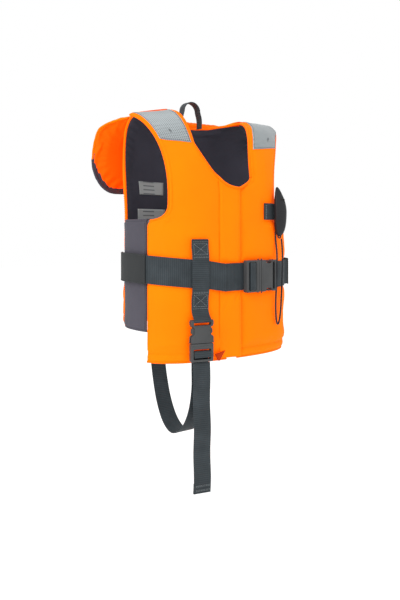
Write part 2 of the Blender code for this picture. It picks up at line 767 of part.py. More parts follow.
COLLAR_PROFILE = (
    (0.057, 0.3565), (0.071, 0.3560), (0.093, 0.3450), (0.110, 0.3230), (0.117, 0.2970), (0.114, 0.2710),
    (0.107, 0.2450),
)


def collar_half_thickness(s, t):
    """Half the collar's thickness: thin at its hinge, its sides and its free edge."""
    spread = clamp(1 - abs(s) ** 3.0) ** 0.5
    full = sin(pi * clamp(t * 0.92 + 0.04)) ** 0.8
    return max(COLLAR_HALF_THICKNESS * full * blend(0.25, 1, spread), 0.0035)


def collar_point(s, t, face, inset):
    """A point of the collar: s across, t from the hinge to the free edge, on its +1 or -1 face."""
    line = smooth_path([Vector((0, y, z)) for y, z in COLLAR_PROFILE], 60)
    place = clamp(t) * 60
    index = min(int(place), 59)
    point = line[index].lerp(line[index + 1], place - index)
    along = (line[index + 1] - line[index]).normalized()
    out_way = Vector((0, -along.z, along.y))
    round_end = 1 - sqrt(1 - clamp((t - 0.66) / 0.34) ** 2)
    wide = COLLAR_HALF_WIDTH * (1 - 0.34 * (1 - ease(t / 0.40)) - 0.24 * round_end)
    return point + Vector((s * wide, 0, 0)) + out_way * face * (collar_half_thickness(s, t) - inset)


def make_collar():
    """Padded collar: a foam cushion between its orange cover and its dark underside."""
    hinge = pivot("collar_fold_axis", COLLAR_HINGE)

    def cover(u, v):
        return collar_point(2 * u - 1, v, 1, 0)

    def underside(u, v):
        return collar_point(2 * u - 1, v, -1, 0)

    def foam_face(u, v):
        return collar_point(2 * u - 1, v, 1, COLLAR_FOAM_INSET)

    def foam_thickness(u, v):
        return 2 * (collar_half_thickness(2 * u - 1, v) - COLLAR_FOAM_INSET) - 0.0005

    sheet("collar_cover", 12, 12, cover, CLOTH, "orange_cloth", False, hinge)
    sheet("collar_underside", 12, 12, underside, CLOTH, "grey_lining", True, hinge)
    sheet("collar_foam", 12, 12, foam_face, foam_thickness, "foam", False, hinge)


def make_whistle():
    """Whistle standing on the outside of its webbing tab, near the wearer's left armhole."""
    tab_points = []
    for step in range(5):
        x = blend(*TAB_X, step / 4)
        tab_points.append(ring(angle_at(x, WHISTLE_Z), WHISTLE_Z, 0.0030))
    height = TAB_Z[1] - TAB_Z[0]
    run_strip("whistle_tab", tab_points, [Vector((0, 0, 1))] * 5, height, "webbing", thickness=0.0025)
    out = Vector((WHISTLE_TURN, -1, 0)).normalized()
    centre = ring(angle_at(WHISTLE_X, WHISTLE_Z), WHISTLE_Z, WHISTLE_OUT)
    frame = local_frame(Vector((0, 0, 1)), out, centre)
    build = bmesh.new()
    bmesh.ops.create_uvsphere(build, u_segments=16, v_segments=12, radius=1)
    for vert in build.verts:
        across, thick, long = vert.co.x, vert.co.y, vert.co.z
        taper = 1 - 0.25 * long * long
        bow = -0.0025 * long * long
        local = Vector((long * WHISTLE_SIZE[2] / 2, across * WHISTLE_SIZE[0] / 2 * taper,
                        thick * WHISTLE_SIZE[1] / 2 + bow))
        vert.co = frame @ local
    bmesh.ops.recalc_face_normals(build, faces=build.faces)
    mesh = bpy.data.meshes.new("whistle")
    build.to_mesh(mesh)
    build.free()
    add("whistle", mesh, "buckle_plastic", pivot("whistle_pull_axis", centre))


LANYARD_ROUTE = (
    (0.0785, -0.0699, 0.1975), (0.0780, -0.0703, 0.188), (0.0765, -0.0735, 0.172), (0.0742, -0.0790, 0.150),
    (0.0722, -0.0815, 0.118), (0.0715, -0.0805, 0.096), (0.0718, -0.0790, 0.075), (0.0735, -0.0775, 0.057),
    (0.0765, -0.0765, 0.0445), (0.0805, -0.0755, 0.0425), (0.0845, -0.0745, 0.052), (0.0875, -0.0735, 0.068),
    (0.0895, -0.0728, 0.088), (0.0905, -0.0730, 0.110), (0.0900, -0.0745, 0.130), (0.0875, -0.0770, 0.150),
    (0.0845, -0.0790, 0.164), (0.0820, -0.0805, 0.1725),
)


def make_lanyard():
    """The whistle's cord: down from the tab, round in a long loop, and up to the whistle."""
    path = smooth_path([Vector(point) for point in LANYARD_ROUTE], 46)
    curve = bpy.data.curves.new("whistle_lanyard", "CURVE")
    curve.dimensions = "3D"
    curve.bevel_depth = CORD_DIAMETER / 2
    curve.bevel_resolution = 2
    curve.use_fill_caps = True
    spline = curve.splines.new("POLY")
    spline.points.add(len(path) - 1)
    for point, place in zip(spline.points, path):
        point.co = (*place, 1)
    made = bpy.data.objects.new("whistle_lanyard", curve)
    curve.materials.append(material("cord"))
    JACKET.objects.link(made)
    made.parent = ORIGIN


make_vest()
make_side_panels()
make_reflective_patches()
make_labels()
make_zip()
make_flap()
make_belt()
make_buckle("belt_buckle", BELT_BUCKLE, belt_buckle_frame(), ("upper", "lower"))
make_crotch_strap()
make_carry_loop()
make_collar()
make_whistle()
make_lanyard()
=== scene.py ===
"""The looks of the child's life jacket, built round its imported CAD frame.

The vest's surface formulas repeat the CAD's, in the same jacket frame: metres, +Z up, the front towards -Y,
height zero at the front hem. Everything is moved by -HOOK at the end, so that it hangs from the carry loop.
"""
from math import cos, pi, radians, sin

import bmesh
import bpy
import numpy as np
from mathutils import Matrix, Vector


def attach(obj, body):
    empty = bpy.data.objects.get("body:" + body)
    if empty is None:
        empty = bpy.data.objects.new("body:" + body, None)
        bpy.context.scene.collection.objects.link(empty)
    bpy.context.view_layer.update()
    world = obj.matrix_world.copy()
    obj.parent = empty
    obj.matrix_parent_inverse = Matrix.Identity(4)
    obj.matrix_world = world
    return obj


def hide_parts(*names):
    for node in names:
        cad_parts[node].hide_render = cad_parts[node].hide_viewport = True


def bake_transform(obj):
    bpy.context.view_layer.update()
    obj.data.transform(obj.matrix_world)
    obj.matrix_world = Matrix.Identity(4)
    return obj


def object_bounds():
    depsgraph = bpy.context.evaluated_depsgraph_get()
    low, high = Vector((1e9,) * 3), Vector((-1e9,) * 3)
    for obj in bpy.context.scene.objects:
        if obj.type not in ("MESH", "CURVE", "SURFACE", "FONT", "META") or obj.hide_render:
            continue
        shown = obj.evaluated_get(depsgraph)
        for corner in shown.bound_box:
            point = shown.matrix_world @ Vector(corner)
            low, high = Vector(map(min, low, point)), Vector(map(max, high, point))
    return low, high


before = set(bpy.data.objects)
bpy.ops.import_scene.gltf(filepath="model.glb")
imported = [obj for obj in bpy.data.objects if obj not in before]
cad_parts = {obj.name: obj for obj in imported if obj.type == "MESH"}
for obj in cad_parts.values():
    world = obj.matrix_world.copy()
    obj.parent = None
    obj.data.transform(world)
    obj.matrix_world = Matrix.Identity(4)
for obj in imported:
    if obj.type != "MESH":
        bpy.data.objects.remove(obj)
CAD_BOX = [list(corner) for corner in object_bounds()]

# --- Driving dimensions, as in the CAD --------------------------------------------------------------
FRONT_DEPTH = 0.076
BACK_DEPTH = 0.086
WAIST_HALF_WIDTH = 0.131
SHOULDER_RIGHT, SHOULDER_LEFT = 0.142, 0.156
ROUNDNESS = 2.6
RIDGE_Y = -0.005
RIDGE_Y_OUTER = 0.025
RIDGE_Z = 0.363
SLOPE_RIGHT, SLOPE_LEFT = 0.20, -0.10
SHOULDER_TILT = 0.06
FRONT_SPRING = 0.230
BACK_SPRING = 0.262
FRONT_ARCH = 1.9
BACK_ARCH = 2.8
FRONT_LENGTH = 0.395
BACK_LENGTH = 0.412
ARMHOLE_BOTTOM = 0.199
SIDE_HEM = 0.043
LEFT_SWELL = 0.013
BACK_HEM = 0.043
FRONT_SEAM_X = 0.1275
BACK_SEAM_X = 0.118
ARMHOLE_WAIST = {-1: 0.107, 1: 0.080}
ARMHOLE_CORNER = {-1: 0.022, 1: 0.036}
STRAP_OUTER_X = {-1: 0.125, 1: 0.148}
STRAP_FLARE = {-1: 2.6, 1: 2.4}
STRAP_FLARE_TOP = {-1: 0.363, 1: 0.350}
BACK_STRAP_X = {-1: 0.127, 1: 0.134}
NECK_HALF_WIDTH = 0.065
NECK_BOTTOM = 0.248
NECK_FULL_Z = 0.310
NECK_LEFT_WAIST = 0.030
NAPE_RISE = 1.633
ZIP_X = -0.012
ZIP_HALF_GAP = 0.008
ZIP_TOP = 0.236
FLAP_LEFT, FLAP_RIGHT = 0.004, -0.034
FOAM_EDGE, FOAM_BODY, FOAM_STRAP = 0.004, 0.020, 0.009
CLOTH = 0.0008
WEBBING = 0.0016
BELT_WIDTH = 0.040
BELT_OUT = 0.0016
BELT_FRONT_Z = 0.118
BELT_BACK_RISE = 0.014
BELT_SLEEVE_WIDTH = 0.042
BELT_SLEEVE_THICKNESS = 0.0013
BELT_SEAM_ANGLE = radians(111)             # where the belt's front runs end, under the side sleeves
CROTCH_WIDTH = 0.0262
TAIL_LENGTH = 0.182
CROTCH_X = -0.066
CROTCH_TOP = 0.172
CROTCH_OUT = 0.0010
CROTCH_OVER_BELT = 0.0036
CROSSING_Z = 0.125                         # height at which the front strap crosses the belt
STRAP_PRESS = 0.0135                       # half the width of what the strap presses flat
BELT_BUCKLE_YAW = radians(4)
BELT_BUCKLE_PLACE = Vector((0.035, -0.0765, BELT_FRONT_Z))
CROTCH_BUCKLE_Z = 0.0272
BELT_BUCKLE = {"male": 0.029, "female": 0.032, "half": 0.0235, "web": 0.0205, "thick": 0.009}
CROTCH_BUCKLE = {"male": 0.026, "female": 0.033, "half": 0.0172, "web": 0.0131, "thick": 0.008}
LOOP_X, LOOP_Y, LOOP_HALF_SPAN, LOOP_FOOT, LOOP_TOP, LOOP_WEB = -0.004, 0.040, 0.0175, 0.352, 0.3875, 0.014
COLLAR_HALF_WIDTH = 0.132
COLLAR_HALF_THICKNESS = 0.0205
TAB_Z = (0.199, 0.224)
TAB_X = (0.052, 0.082)
TAB_MIDDLE = 0.067
TAB_OUT = 0.0030
TAB_THICKNESS = 0.0025
WHISTLE_Z = 0.214
WHISTLE_X = 0.078
WHISTLE_SIZE = (0.022, 0.012, 0.076)
WHISTLE_OUT = 0.0118
WHISTLE_TURN = 0.05
WHISTLE_EYE = (-0.0372, 0.0030, -0.0022)   # middle along the whistle, radius and height of its eye
CORD_DIAMETER = 0.0028
BRAID_PITCH, BRAID_HEIGHT = 0.0042, 0.00011
TOOTH_PITCH = 0.0022
TOOTH = (0.0036, 0.0022, 0.0013)
HOOK = Vector((LOOP_X, LOOP_Y, LOOP_TOP))
SIDES = ((-1, "right"), (1, "left"))       # the wearer's

# --- Looks ------------------------------------------------------------------------------------------
RIB_PITCH = 0.0028
RIB_DEPTH, SMOOTH_RIB_DEPTH = 0.16, 0.03   # shares of the webbing's thickness
SELVEDGE = 0.002                           # how far from its sides the ribs reach their full depth
WEAVE_PITCH = 0.0009
SHEET = 0.0006                             # thickness that a panel's cloth is drawn with
THIN_WEBBING = 0.0012

# How the covers stand out from the CAD's surface.
FRONT_REACH, BACK_REACH = 0.030, 0.032     # how far in from its edges a cover stands out in full
FRONT_PUFF, STRAP_PUFF, BACK_PUFF = 0.0018, 0.0008, 0.0020
FRONT_BELT_SWELL, BACK_BELT_SWELL, BELT_DENT = 0.0016, 0.0018, 0.0004
GROOVE_WIDTH, GROOVE_DEPTH = 0.0016, 0.0004
FRONT_PUCKER_PITCH, FRONT_PUCKER = 0.0085, 0.00022
COVER_EDGE, SIDE_EDGE = (0.0065, 0.0034), (0.004, 0.0030)   # how far in the edge's turn begins, and its drop
LINING_PUCKER_PITCH, LINING_PUCKER = 0.013, 0.0011

# Length, gap and radius of a sewn stitch.
STITCH = (0.0024, 0.0009, 0.00026)
STRAP_STITCH = (0.0019, 0.0007, 0.00028)
FRONT_STRAP_STITCH = (0.0019, 0.0007, 0.00030)
TAIL_STITCH = (0.0019, 0.0006, 0.00028)
TAPE_STITCH = (0.0020, 0.0008, 0.00022)
LABEL_STITCH = (0.0020, 0.0008, 0.00020)

# How far the rows of stitches run from the edges of the panels.
TOPSTITCH = 0.0052
HEM_STITCH = 0.0135
SIDE_STITCH = 0.0038
FLAP_STITCH = 0.0042
COLLAR_STITCH = 0.006

# Radii of the rolled and bound edges.
ROLL_RADIUS = 0.0019
HEM_ROLL_RADIUS = 0.0017
SIDE_HEM_RADIUS = 0.0015
ROLL_SPACING, HEM_SPACING = 0.0022, 0.003
COLLAR_TRIM_RADIUS = 0.0021
COLLAR_PIPING_RADIUS = 0.0018
STRAP_FOLD_RADIUS = 0.0013


# --- Small maths, on arrays -------------------------------------------------------------------------

def unit(vectors):
    return vectors / np.maximum(np.linalg.norm(vectors, axis=-1, keepdims=True), 1e-12)


def ease(value):
    """0 below 0, 1 above 1, and a smooth step between."""
    value = np.clip(value, 0, 1)
    return value * value * (3 - 2 * value)


def mix(a, b, share):
    return a + (b - a) * share


def signed_power(value, exponent):
    return np.sign(value) * np.abs(value) ** exponent


def wave_noise(a, b, seed, scale):
    """Smooth noise from -1 to 1 over two coordinates: a sum of a few sines with seeded directions."""
    source = np.random.default_rng(seed)
    total = 0
    for _ in range(5):
        turn = source.uniform(0, 2 * pi)
        phase = source.uniform(0, 2 * pi)
        pace = 2 * pi / scale * source.uniform(0.7, 1.5)
        total = total + np.sin((a * cos(turn) + b * sin(turn)) * pace + phase)
    return total / 5


# --- The vest's surface, as in the CAD --------------------------------------------------------------

def half_width(z, across):
    """Half the vest's width at a height; across says which side by its sign."""
    share = np.clip((z - ARMHOLE_BOTTOM) / (RIDGE_Z - ARMHOLE_BOTTOM), 0, 1)
    return mix(WAIST_HALF_WIDTH, np.where(across > 0, SHOULDER_LEFT, SHOULDER_RIGHT), share ** 1.5)


def level(angle, rise):
    """Height of a rise, how far the depth has shrunk there, and how far up the arch it is."""
    front = np.cos(angle) >= 0
    spring = np.where(front, FRONT_SPRING, BACK_SPRING)
    arch = np.where(front, FRONT_ARCH, BACK_ARCH)
    turn = (np.clip(rise, 1, 2) - 1) * pi / 2
    lift = np.sin(turn) ** (2 / arch)
    shrink = np.maximum(np.cos(turn), 0) ** (2 / arch)
    return np.minimum(rise, 1) * spring + (RIDGE_Z - spring) * lift, shrink, lift


def skin(angle, rise):
    """The outer surface: angle round the body, rise 0 at the hem, 1 at the spring, 2 at the ridge."""
    depth = np.where(np.cos(angle) >= 0, FRONT_DEPTH, BACK_DEPTH)
    z, shrink, lift = level(angle, rise)
    x = half_width(z, np.sin(angle)) * signed_power(np.sin(angle), 2 / ROUNDNESS)
    ridge_y = mix(RIDGE_Y, RIDGE_Y_OUTER, np.clip((np.abs(x) - 0.045) / 0.077, 0, 1))
    y = ridge_y * (1 - shrink) - depth * signed_power(np.cos(angle), 2 / ROUNDNESS) * shrink
    slope = np.where(x > 0, SLOPE_LEFT, SLOPE_RIGHT) * np.maximum(np.abs(x) - NECK_HALF_WIDTH, 0)
    return np.stack([x, y, z - lift * (slope + SHOULDER_TILT * x)], axis=-1)


def outward(angle, rise):
    """Unit normal of the outer surface."""
    step = 0.004
    across = skin(angle + step, rise) - skin(angle - step, rise)
    up = skin(angle, np.minimum(rise + step, 2)) - skin(angle, np.minimum(rise, 2 - step) - step)
    return unit(np.cross(across, up))


def angle_at(x, z, back=False):
    """Angle round the body at which the surface has a given x at a given height."""
    share = np.clip(np.abs(x) / half_width(z, x), 0, 1)
    angle = np.arcsin(share ** (ROUNDNESS / 2)) * np.where(x >= 0, 1, -1)
    return pi - angle if back else angle


def ring(angle, z, out):
    """A point off the straight lower part of the vest."""
    angle = np.asarray(angle, float)
    rise = z / np.where(np.cos(angle) >= 0, FRONT_SPRING, BACK_SPRING)
    return skin(angle, rise) + outward(angle, rise) * out


def climb(share, spring, total):
    """Rise at a share of a panel's length: 1 where its straight part ends."""
    straight = spring / total
    return np.where(share < straight, share / straight, 1 + (share - straight) / (1 - straight))


def neck_edge(side, z):
    """Half width of the neck opening at a height, on one side."""
    if side < 0:
        return NECK_HALF_WIDTH * np.clip((z - NECK_BOTTOM) / (NECK_FULL_Z - NECK_BOTTOM), 0, 1) ** 0.45
    low = np.clip((z - NECK_BOTTOM) / 0.014, 0, 1) ** 0.5
    high = np.clip((z - NECK_BOTTOM - 0.014) / (RIDGE_Z - NECK_BOTTOM - 0.014), 0, 1) ** 2.1
    return NECK_LEFT_WAIST * low + (NECK_HALF_WIDTH - NECK_LEFT_WAIST) * high


def front_armhole_edge(side, z):
    """How far from the middle a front half's outer edge lies at a height."""
    corner = np.clip((z - ARMHOLE_BOTTOM) / ARMHOLE_CORNER[side], 0, 1)
    scoop = (FRONT_SEAM_X - ARMHOLE_WAIST[side]) * np.sqrt(1 - (1 - corner) ** 2)
    flare = np.clip((z - 0.235) / (STRAP_FLARE_TOP[side] - 0.235), 0, 1) ** STRAP_FLARE[side]
    return FRONT_SEAM_X - scoop + (STRAP_OUTER_X[side] - ARMHOLE_WAIST[side]) * flare


def back_armhole_edge(side, z):
    """How far from the middle the back's outer edge lies at a height."""
    wide = mix(BACK_SEAM_X, BACK_STRAP_X[side], ease((z - ARMHOLE_BOTTOM) / 0.080))
    return wide - (BACK_STRAP_X[side] - STRAP_OUTER_X[side]) * ease((z - 0.336) / 0.027)


def front_place(side, u, v):
    """Angle and rise at shares u, outwards, and v, upwards, of a front half."""
    rise = climb(v, FRONT_SPRING, FRONT_LENGTH)
    z = level(np.zeros_like(v), rise)[0]
    inner = ZIP_X + side * np.maximum(ZIP_HALF_GAP, neck_edge(side, z) - side * ZIP_X)
    outer = side * front_armhole_edge(side, z)
    return mix(angle_at(inner, z), angle_at(outer, z), u), rise


def back_place(u, v):
    """Angle and rise at shares u, across, and v, upwards, of the back."""
    share = mix(BACK_HEM / BACK_LENGTH, 1, v)
    rise = climb(share, BACK_SPRING, BACK_LENGTH)
    z = level(np.full_like(v, pi), rise)[0]
    start = angle_at(back_armhole_edge(1, z), z, back=True)
    end = 2 * pi - angle_at(back_armhole_edge(-1, z), z, back=True)
    angle = mix(start, end, u)
    x = half_width(z, np.sin(angle)) * signed_power(np.sin(angle), 2 / ROUNDNESS)
    dip = (2 - NAPE_RISE) * np.sqrt(1 - np.clip(np.abs(x) / NECK_HALF_WIDTH, 0, 1) ** 2)
    return angle, np.where(rise > 1, 1 + (rise - 1) * (1 - dip), rise)


def plump(u, v, body):
    """Thickness of the foam at a panel's shares."""
    middle = mix(body, FOAM_STRAP, ease((v - 0.5) / 0.25))
    full = (1 - np.abs(2 * u - 1) ** 3) * (1 - np.abs(2 * v - 1) ** 4)
    return FOAM_EDGE + (middle - FOAM_EDGE) * full


def belt_height(angle):
    """Height of the belt's middle at an angle: it climbs towards the back."""
    angle = np.where(angle > pi, angle - 2 * pi, angle)
    turn = np.clip(-angle / (pi / 2), 0, 1)
    right = BELT_FRONT_Z + BELT_BACK_RISE * turn * (1.6 - 0.6 * turn)
    left = BELT_FRONT_Z + BELT_BACK_RISE * ease((angle - pi / 3) / (pi * 2 / 3))
    return np.where(angle < 0, right, left)


def left_swell(angle):
    """How far the wearer's left side hangs outwards between its seams, with no body inside to draw it in."""
    share = np.clip((np.asarray(angle, float) - radians(70)) / radians(41), 0, 1)
    return LEFT_SWELL * np.abs(np.sin(pi * share ** 0.6)) ** 0.8


def local_frame(along, out, origin):
    """A frame at an origin with x along, z out and y across."""
    across = out.cross(along)
    return Matrix.Translation(origin) @ Matrix((along, across, out)).transposed().to_4x4()


def belt_buckle_frame():
    """The belt buckle's own frame: along the belt, across it and out."""
    along = Vector((cos(BELT_BUCKLE_YAW), sin(BELT_BUCKLE_YAW), 0))
    out = Vector((sin(BELT_BUCKLE_YAW), -cos(BELT_BUCKLE_YAW), 0))
    return local_frame(along, out, BELT_BUCKLE_PLACE)


def across_of(place):
    """The direction across a strap in a buckle's frame."""
    return (place.to_3x3() @ Vector((0, 1, 0))).normalized()


def crotch_buckle_frame():
    """The crotch buckle's own frame: up the strap, across it and out."""
    angle = float(angle_at(CROTCH_X, CROTCH_BUCKLE_Z))
    out = Vector(outward(np.array(angle), np.array(0.3)))
    out.z = 0
    return local_frame(Vector((0, 0, 1)), out.normalized(), Vector(ring(angle, CROTCH_BUCKLE_Z, CROTCH_OUT)))


def curve_through(points, spacing):
    """Points at an even spacing on a Catmull-Rom curve through a list of points."""
    route = np.array([list(p) for p in points], float)
    ends = np.vstack([2 * route[0] - route[1], route, 2 * route[-1] - route[-2]])
    spans = len(route) - 1
    place = np.linspace(0, spans - 1e-9, spans * 24)
    k = place.astype(int)
    t = (place - k)[:, None]
    a, b, c, d = ends[k], ends[k + 1], ends[k + 2], ends[k + 3]
    square = (2 * a - 5 * b + 4 * c - d) * t * t
    cube = (3 * b - a - 3 * c + d) * t ** 3
    fine = 0.5 * (2 * b + (c - a) * t + square + cube)
    return evenly(fine, spacing)


def run_of(points):
    """Distance along a polyline at each of its points."""
    return np.concatenate([[0], np.cumsum(np.linalg.norm(np.diff(points, axis=0), axis=1))])


def interpolated(wanted, stations, values):
    """Points or directions at the wanted distances, between those known at the stations."""
    return np.stack([np.interp(wanted, stations, values[:, i]) for i in range(3)], axis=-1)


def evenly(points, spacing):
    """The same polyline with its points at an even spacing."""
    run = run_of(points)
    count = max(int(round(run[-1] / spacing)), 2)
    return interpolated(np.linspace(0, run[-1], count + 1), run, points)


def grid(rows, columns):
    """u runs along the columns and v along the rows, both 0 to 1."""
    return np.meshgrid(np.linspace(0, 1, columns), np.linspace(0, 1, rows))


def grid_normals(points):
    """Unit normals of a grid of points."""
    return unit(np.cross(np.gradient(points, axis=1), np.gradient(points, axis=0)))


def edge_distances(points):
    """Distance of each point of a grid from its four edges, along the grid: left, right, bottom, top."""
    across = np.linalg.norm(np.diff(points, axis=1), axis=2)
    up = np.linalg.norm(np.diff(points, axis=0), axis=2)
    left = np.pad(np.cumsum(across, axis=1), ((0, 0), (1, 0)))
    bottom = np.pad(np.cumsum(up, axis=0), ((1, 0), (0, 0)))
    return left, left[:, -1:] - left, bottom, bottom[-1:] - bottom


# --- Meshes -----------------------------------------------------------------------------------------

def new_piece(name, vertices, faces, finish, body, cloth=None):
    """A mesh piece from arrays in the jacket's frame; cloth is each face corner's place on the flat cloth."""
    mesh = bpy.data.meshes.new(name)
    placed = np.asarray(vertices, float) - np.array(HOOK)
    mesh.from_pydata(placed.tolist(), [], faces)
    if cloth is not None:
        layer = mesh.uv_layers.new(name="cloth")
        order = np.zeros(len(mesh.loops), int)
        mesh.loops.foreach_get("vertex_index", order)
        layer.data.foreach_set("uv", np.asarray(cloth, float)[order].astype(np.float32).ravel())
    mesh.validate()
    made = bpy.data.objects.new(name, mesh)
    bpy.context.scene.collection.objects.link(made)
    mesh.materials.append(finish)
    mesh.shade_smooth()
    if body:
        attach(made, body)
    return made


def grid_faces(rows, columns, flip=False, close=False, start=0):
    """Quads of a grid of points; close joins the last column to the first."""
    faces = []
    wide = columns if close else columns - 1
    for row in range(rows - 1):
        for column in range(wide):
            a = start + row * columns + column
            b = start + row * columns + (column + 1) % columns
            quad = (a, b, b + columns, a + columns)
            faces.append(quad[::-1] if flip else quad)
    return faces


def cloth_place(points):
    """Flat coordinates in metres for a grid of points, for the weave."""
    left, _, bottom, _ = edge_distances(points)
    middle = left - left[:, left.shape[1] // 2][:, None]
    return np.stack([middle, bottom], axis=-1).reshape(-1, 2)


def cloth_sheet(name, points, thickness, finish, body, flip=False):
    """A closed sheet of cloth whose outer face is a grid of points."""
    rows, columns = points.shape[:2]
    normals = grid_normals(points) * (-1 if flip else 1)
    inner = points - normals * thickness
    count = rows * columns
    faces = grid_faces(rows, columns, flip) + grid_faces(rows, columns, not flip, start=count)
    rim = [row * columns for row in range(rows)]
    rim += [(rows - 1) * columns + column for column in range(1, columns)]
    rim += [row * columns + columns - 1 for row in range(rows - 2, -1, -1)]
    rim += list(range(columns - 2, 0, -1))
    for here, there in zip(rim, rim[1:] + rim[:1]):
        quad = (here, there, there + count, here + count)
        faces.append(quad[::-1] if flip else quad)
    flat = cloth_place(points)
    vertices = np.vstack([points.reshape(-1, 3), inner.reshape(-1, 3)])
    return new_piece(name, vertices, faces, finish, body, np.vstack([flat, flat]))


def facing_out(made, merge=0.0):
    """Turns a closed mesh's faces outwards, after joining points that lie within merge of each other."""
    build = bmesh.new()
    build.from_mesh(made.data)
    if merge:
        bmesh.ops.remove_doubles(build, verts=build.verts, dist=merge)
    bmesh.ops.recalc_face_normals(build, faces=build.faces)
    build.to_mesh(made.data)
    build.free()
    return made


def ringed(name, rings, across, run, finish, body):
    """A closed tube through rings of points; across and run are its place on the flat cloth."""
    count, sides = rings.shape[:2]
    first, last = range(sides), range((count - 1) * sides, count * sides)
    faces = grid_faces(count, sides, close=True) + [tuple(first)[::-1], tuple(last)]
    cloth = np.stack([np.broadcast_to(place, (count, sides)) for place in (across, run[:, None])], -1)
    return facing_out(new_piece(name, rings.reshape(-1, 3), faces, finish, body, cloth.reshape(-1, 2)))


def rounded_section(width, thickness, steps=9):
    """A flat section with round sides: points (across, out) all the way round."""
    half, round_side = width / 2, thickness / 2
    turns = np.linspace(-pi / 2, pi / 2, 7)
    side = [(half - round_side + round_side * cos(a), round_side * sin(a)) for a in turns]
    middle = np.linspace(half - round_side, -half + round_side, steps)[1:-1]
    top = [(x, round_side) for x in middle]
    left = [(-x, -y) for x, y in side]
    bottom = [(-x, -round_side) for x in middle]
    return side + top + left + bottom


def tangents(points):
    """Unit directions along a polyline."""
    return unit(np.gradient(points, axis=0))


def webbing(name, points, ups, width, finish, body, flip=False, thickness=WEBBING, ribs=True, spacing=0.0007,
            replaces=None):
    """A ribbed strip through points of its outer face; ups are the directions across it, as in the CAD."""
    coarse = np.array([list(p) for p in points], float)
    fine = curve_through(coarse, spacing)
    run = run_of(coarse)
    length = np.linspace(0, run[-1], len(fine))
    ups = unit(interpolated(length, run, np.array([list(p) for p in ups], float)))
    outs = unit(np.cross(tangents(fine), ups)) * (-1 if flip else 1)
    across, out = np.array(rounded_section(width, thickness)).T
    rib = 0.5 + 0.5 * np.cos(2 * pi * length / RIB_PITCH)
    selvedge = ease((width / 2 - np.abs(across)) / SELVEDGE)
    depth = RIB_DEPTH if ribs else SMOOTH_RIB_DEPTH
    scale = 1 - depth * (1 - rib[:, None] ** 0.6) * selvedge[None, :]
    centres = fine - outs * thickness / 2
    beside = ups[:, None] * across[None, :, None]
    above = outs[:, None] * (out * scale)[..., None]
    made = ringed(name, centres[:, None] + beside + above, across, run_of(centres), finish, body)
    if replaces:
        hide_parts(replaces)
    return made, fine, ups, outs


def tube(name, points, radius, finish, body, sides=12, profile=None):
    """A round tube along points; profile(s, angle) adds to its radius."""
    along = tangents(points)
    side = unit(np.cross(along, np.array([0.3, 0.2, 0.93])))
    other = np.cross(along, side)
    run = run_of(points)
    angles = np.linspace(0, 2 * pi, sides, endpoint=False)
    wide = np.full((len(points), sides), radius)
    if profile:
        wide = wide + profile(run[:, None], angles[None, :])
    turned = side[:, None] * np.cos(angles)[None, :, None] + other[:, None] * np.sin(angles)[None, :, None]
    made = ringed(name, points[:, None] + turned * wide[..., None], angles * radius, run, finish, body)
    return made


def stitches(name, lines, finish, body, size=STITCH, *, slot):
    """Rows of sewn stitches: each line is (points, outward directions)."""
    length, gap, radius = size
    sides = 6
    hoops = ((-0.5, 0.25), (-0.38, 0.85), (0.38, 0.85), (0.5, 0.25))
    vertices, faces = [], []
    for points, outs in lines:
        points, outs = np.asarray(points, float), np.asarray(outs, float)
        run = run_of(points)
        if run[-1] < length:
            continue
        middles = np.arange(length / 2, run[-1] - length / 2, length + gap)
        place = interpolated(middles, run, points)
        ahead = interpolated(middles + length / 2, run, points)
        behind = interpolated(middles - length / 2, run, points)
        away = unit(interpolated(middles, run, outs))
        along = unit(ahead - behind)
        beside = unit(np.cross(along, away))
        for k in range(len(middles)):
            start = len(vertices)
            for share, wide in hoops:
                centre = place[k] + along[k] * share * length + away[k] * radius * 0.35 * (1 - abs(share))
                for side in range(sides):
                    turn = 2 * pi * side / sides
                    vertices.append(centre + (beside[k] * cos(turn) + away[k] * sin(turn)) * radius * wide)
            for hoop in range(len(hoops) - 1):
                for side in range(sides):
                    a = start + hoop * sides + side
                    b = start + hoop * sides + (side + 1) % sides
                    faces.append((a, b, b + sides, a + sides))
            faces.append(tuple(start + side for side in range(sides))[::-1])
            faces.append(tuple(start + (len(hoops) - 1) * sides + side for side in range(sides)))
    new_piece(name, vertices, faces, finish, body)


# --- Materials --------------------------------------------------------------------------------------

def node(tree, kind, **settings):
    made = tree.nodes.new(kind)
    for key, value in settings.items():
        setattr(made, key, value)
    return made


def maths(tree, operation, first, second=None):
    made = node(tree, "ShaderNodeMath", operation=operation)
    for socket, value in zip(made.inputs, (first, second)):
        if value is None:
            continue
        if isinstance(value, (int, float)):
            socket.default_value = value
        else:
            tree.links.new(value, socket)
    return made.outputs[0]


def start_material(name, roughness, metallic=0.0, sheen=0.0, specular=0.25):
    made = bpy.data.materials.new(name)
    made.use_nodes = True
    tree = made.node_tree
    shader = tree.nodes["Principled BSDF"]
    shader.inputs["Roughness"].default_value = roughness
    shader.inputs["Metallic"].default_value = metallic
    shader.inputs["Specular IOR Level"].default_value = specular
    shader.inputs["Sheen Weight"].default_value = sheen
    shader.inputs["Sheen Roughness"].default_value = 0.4
    return made, tree, shader


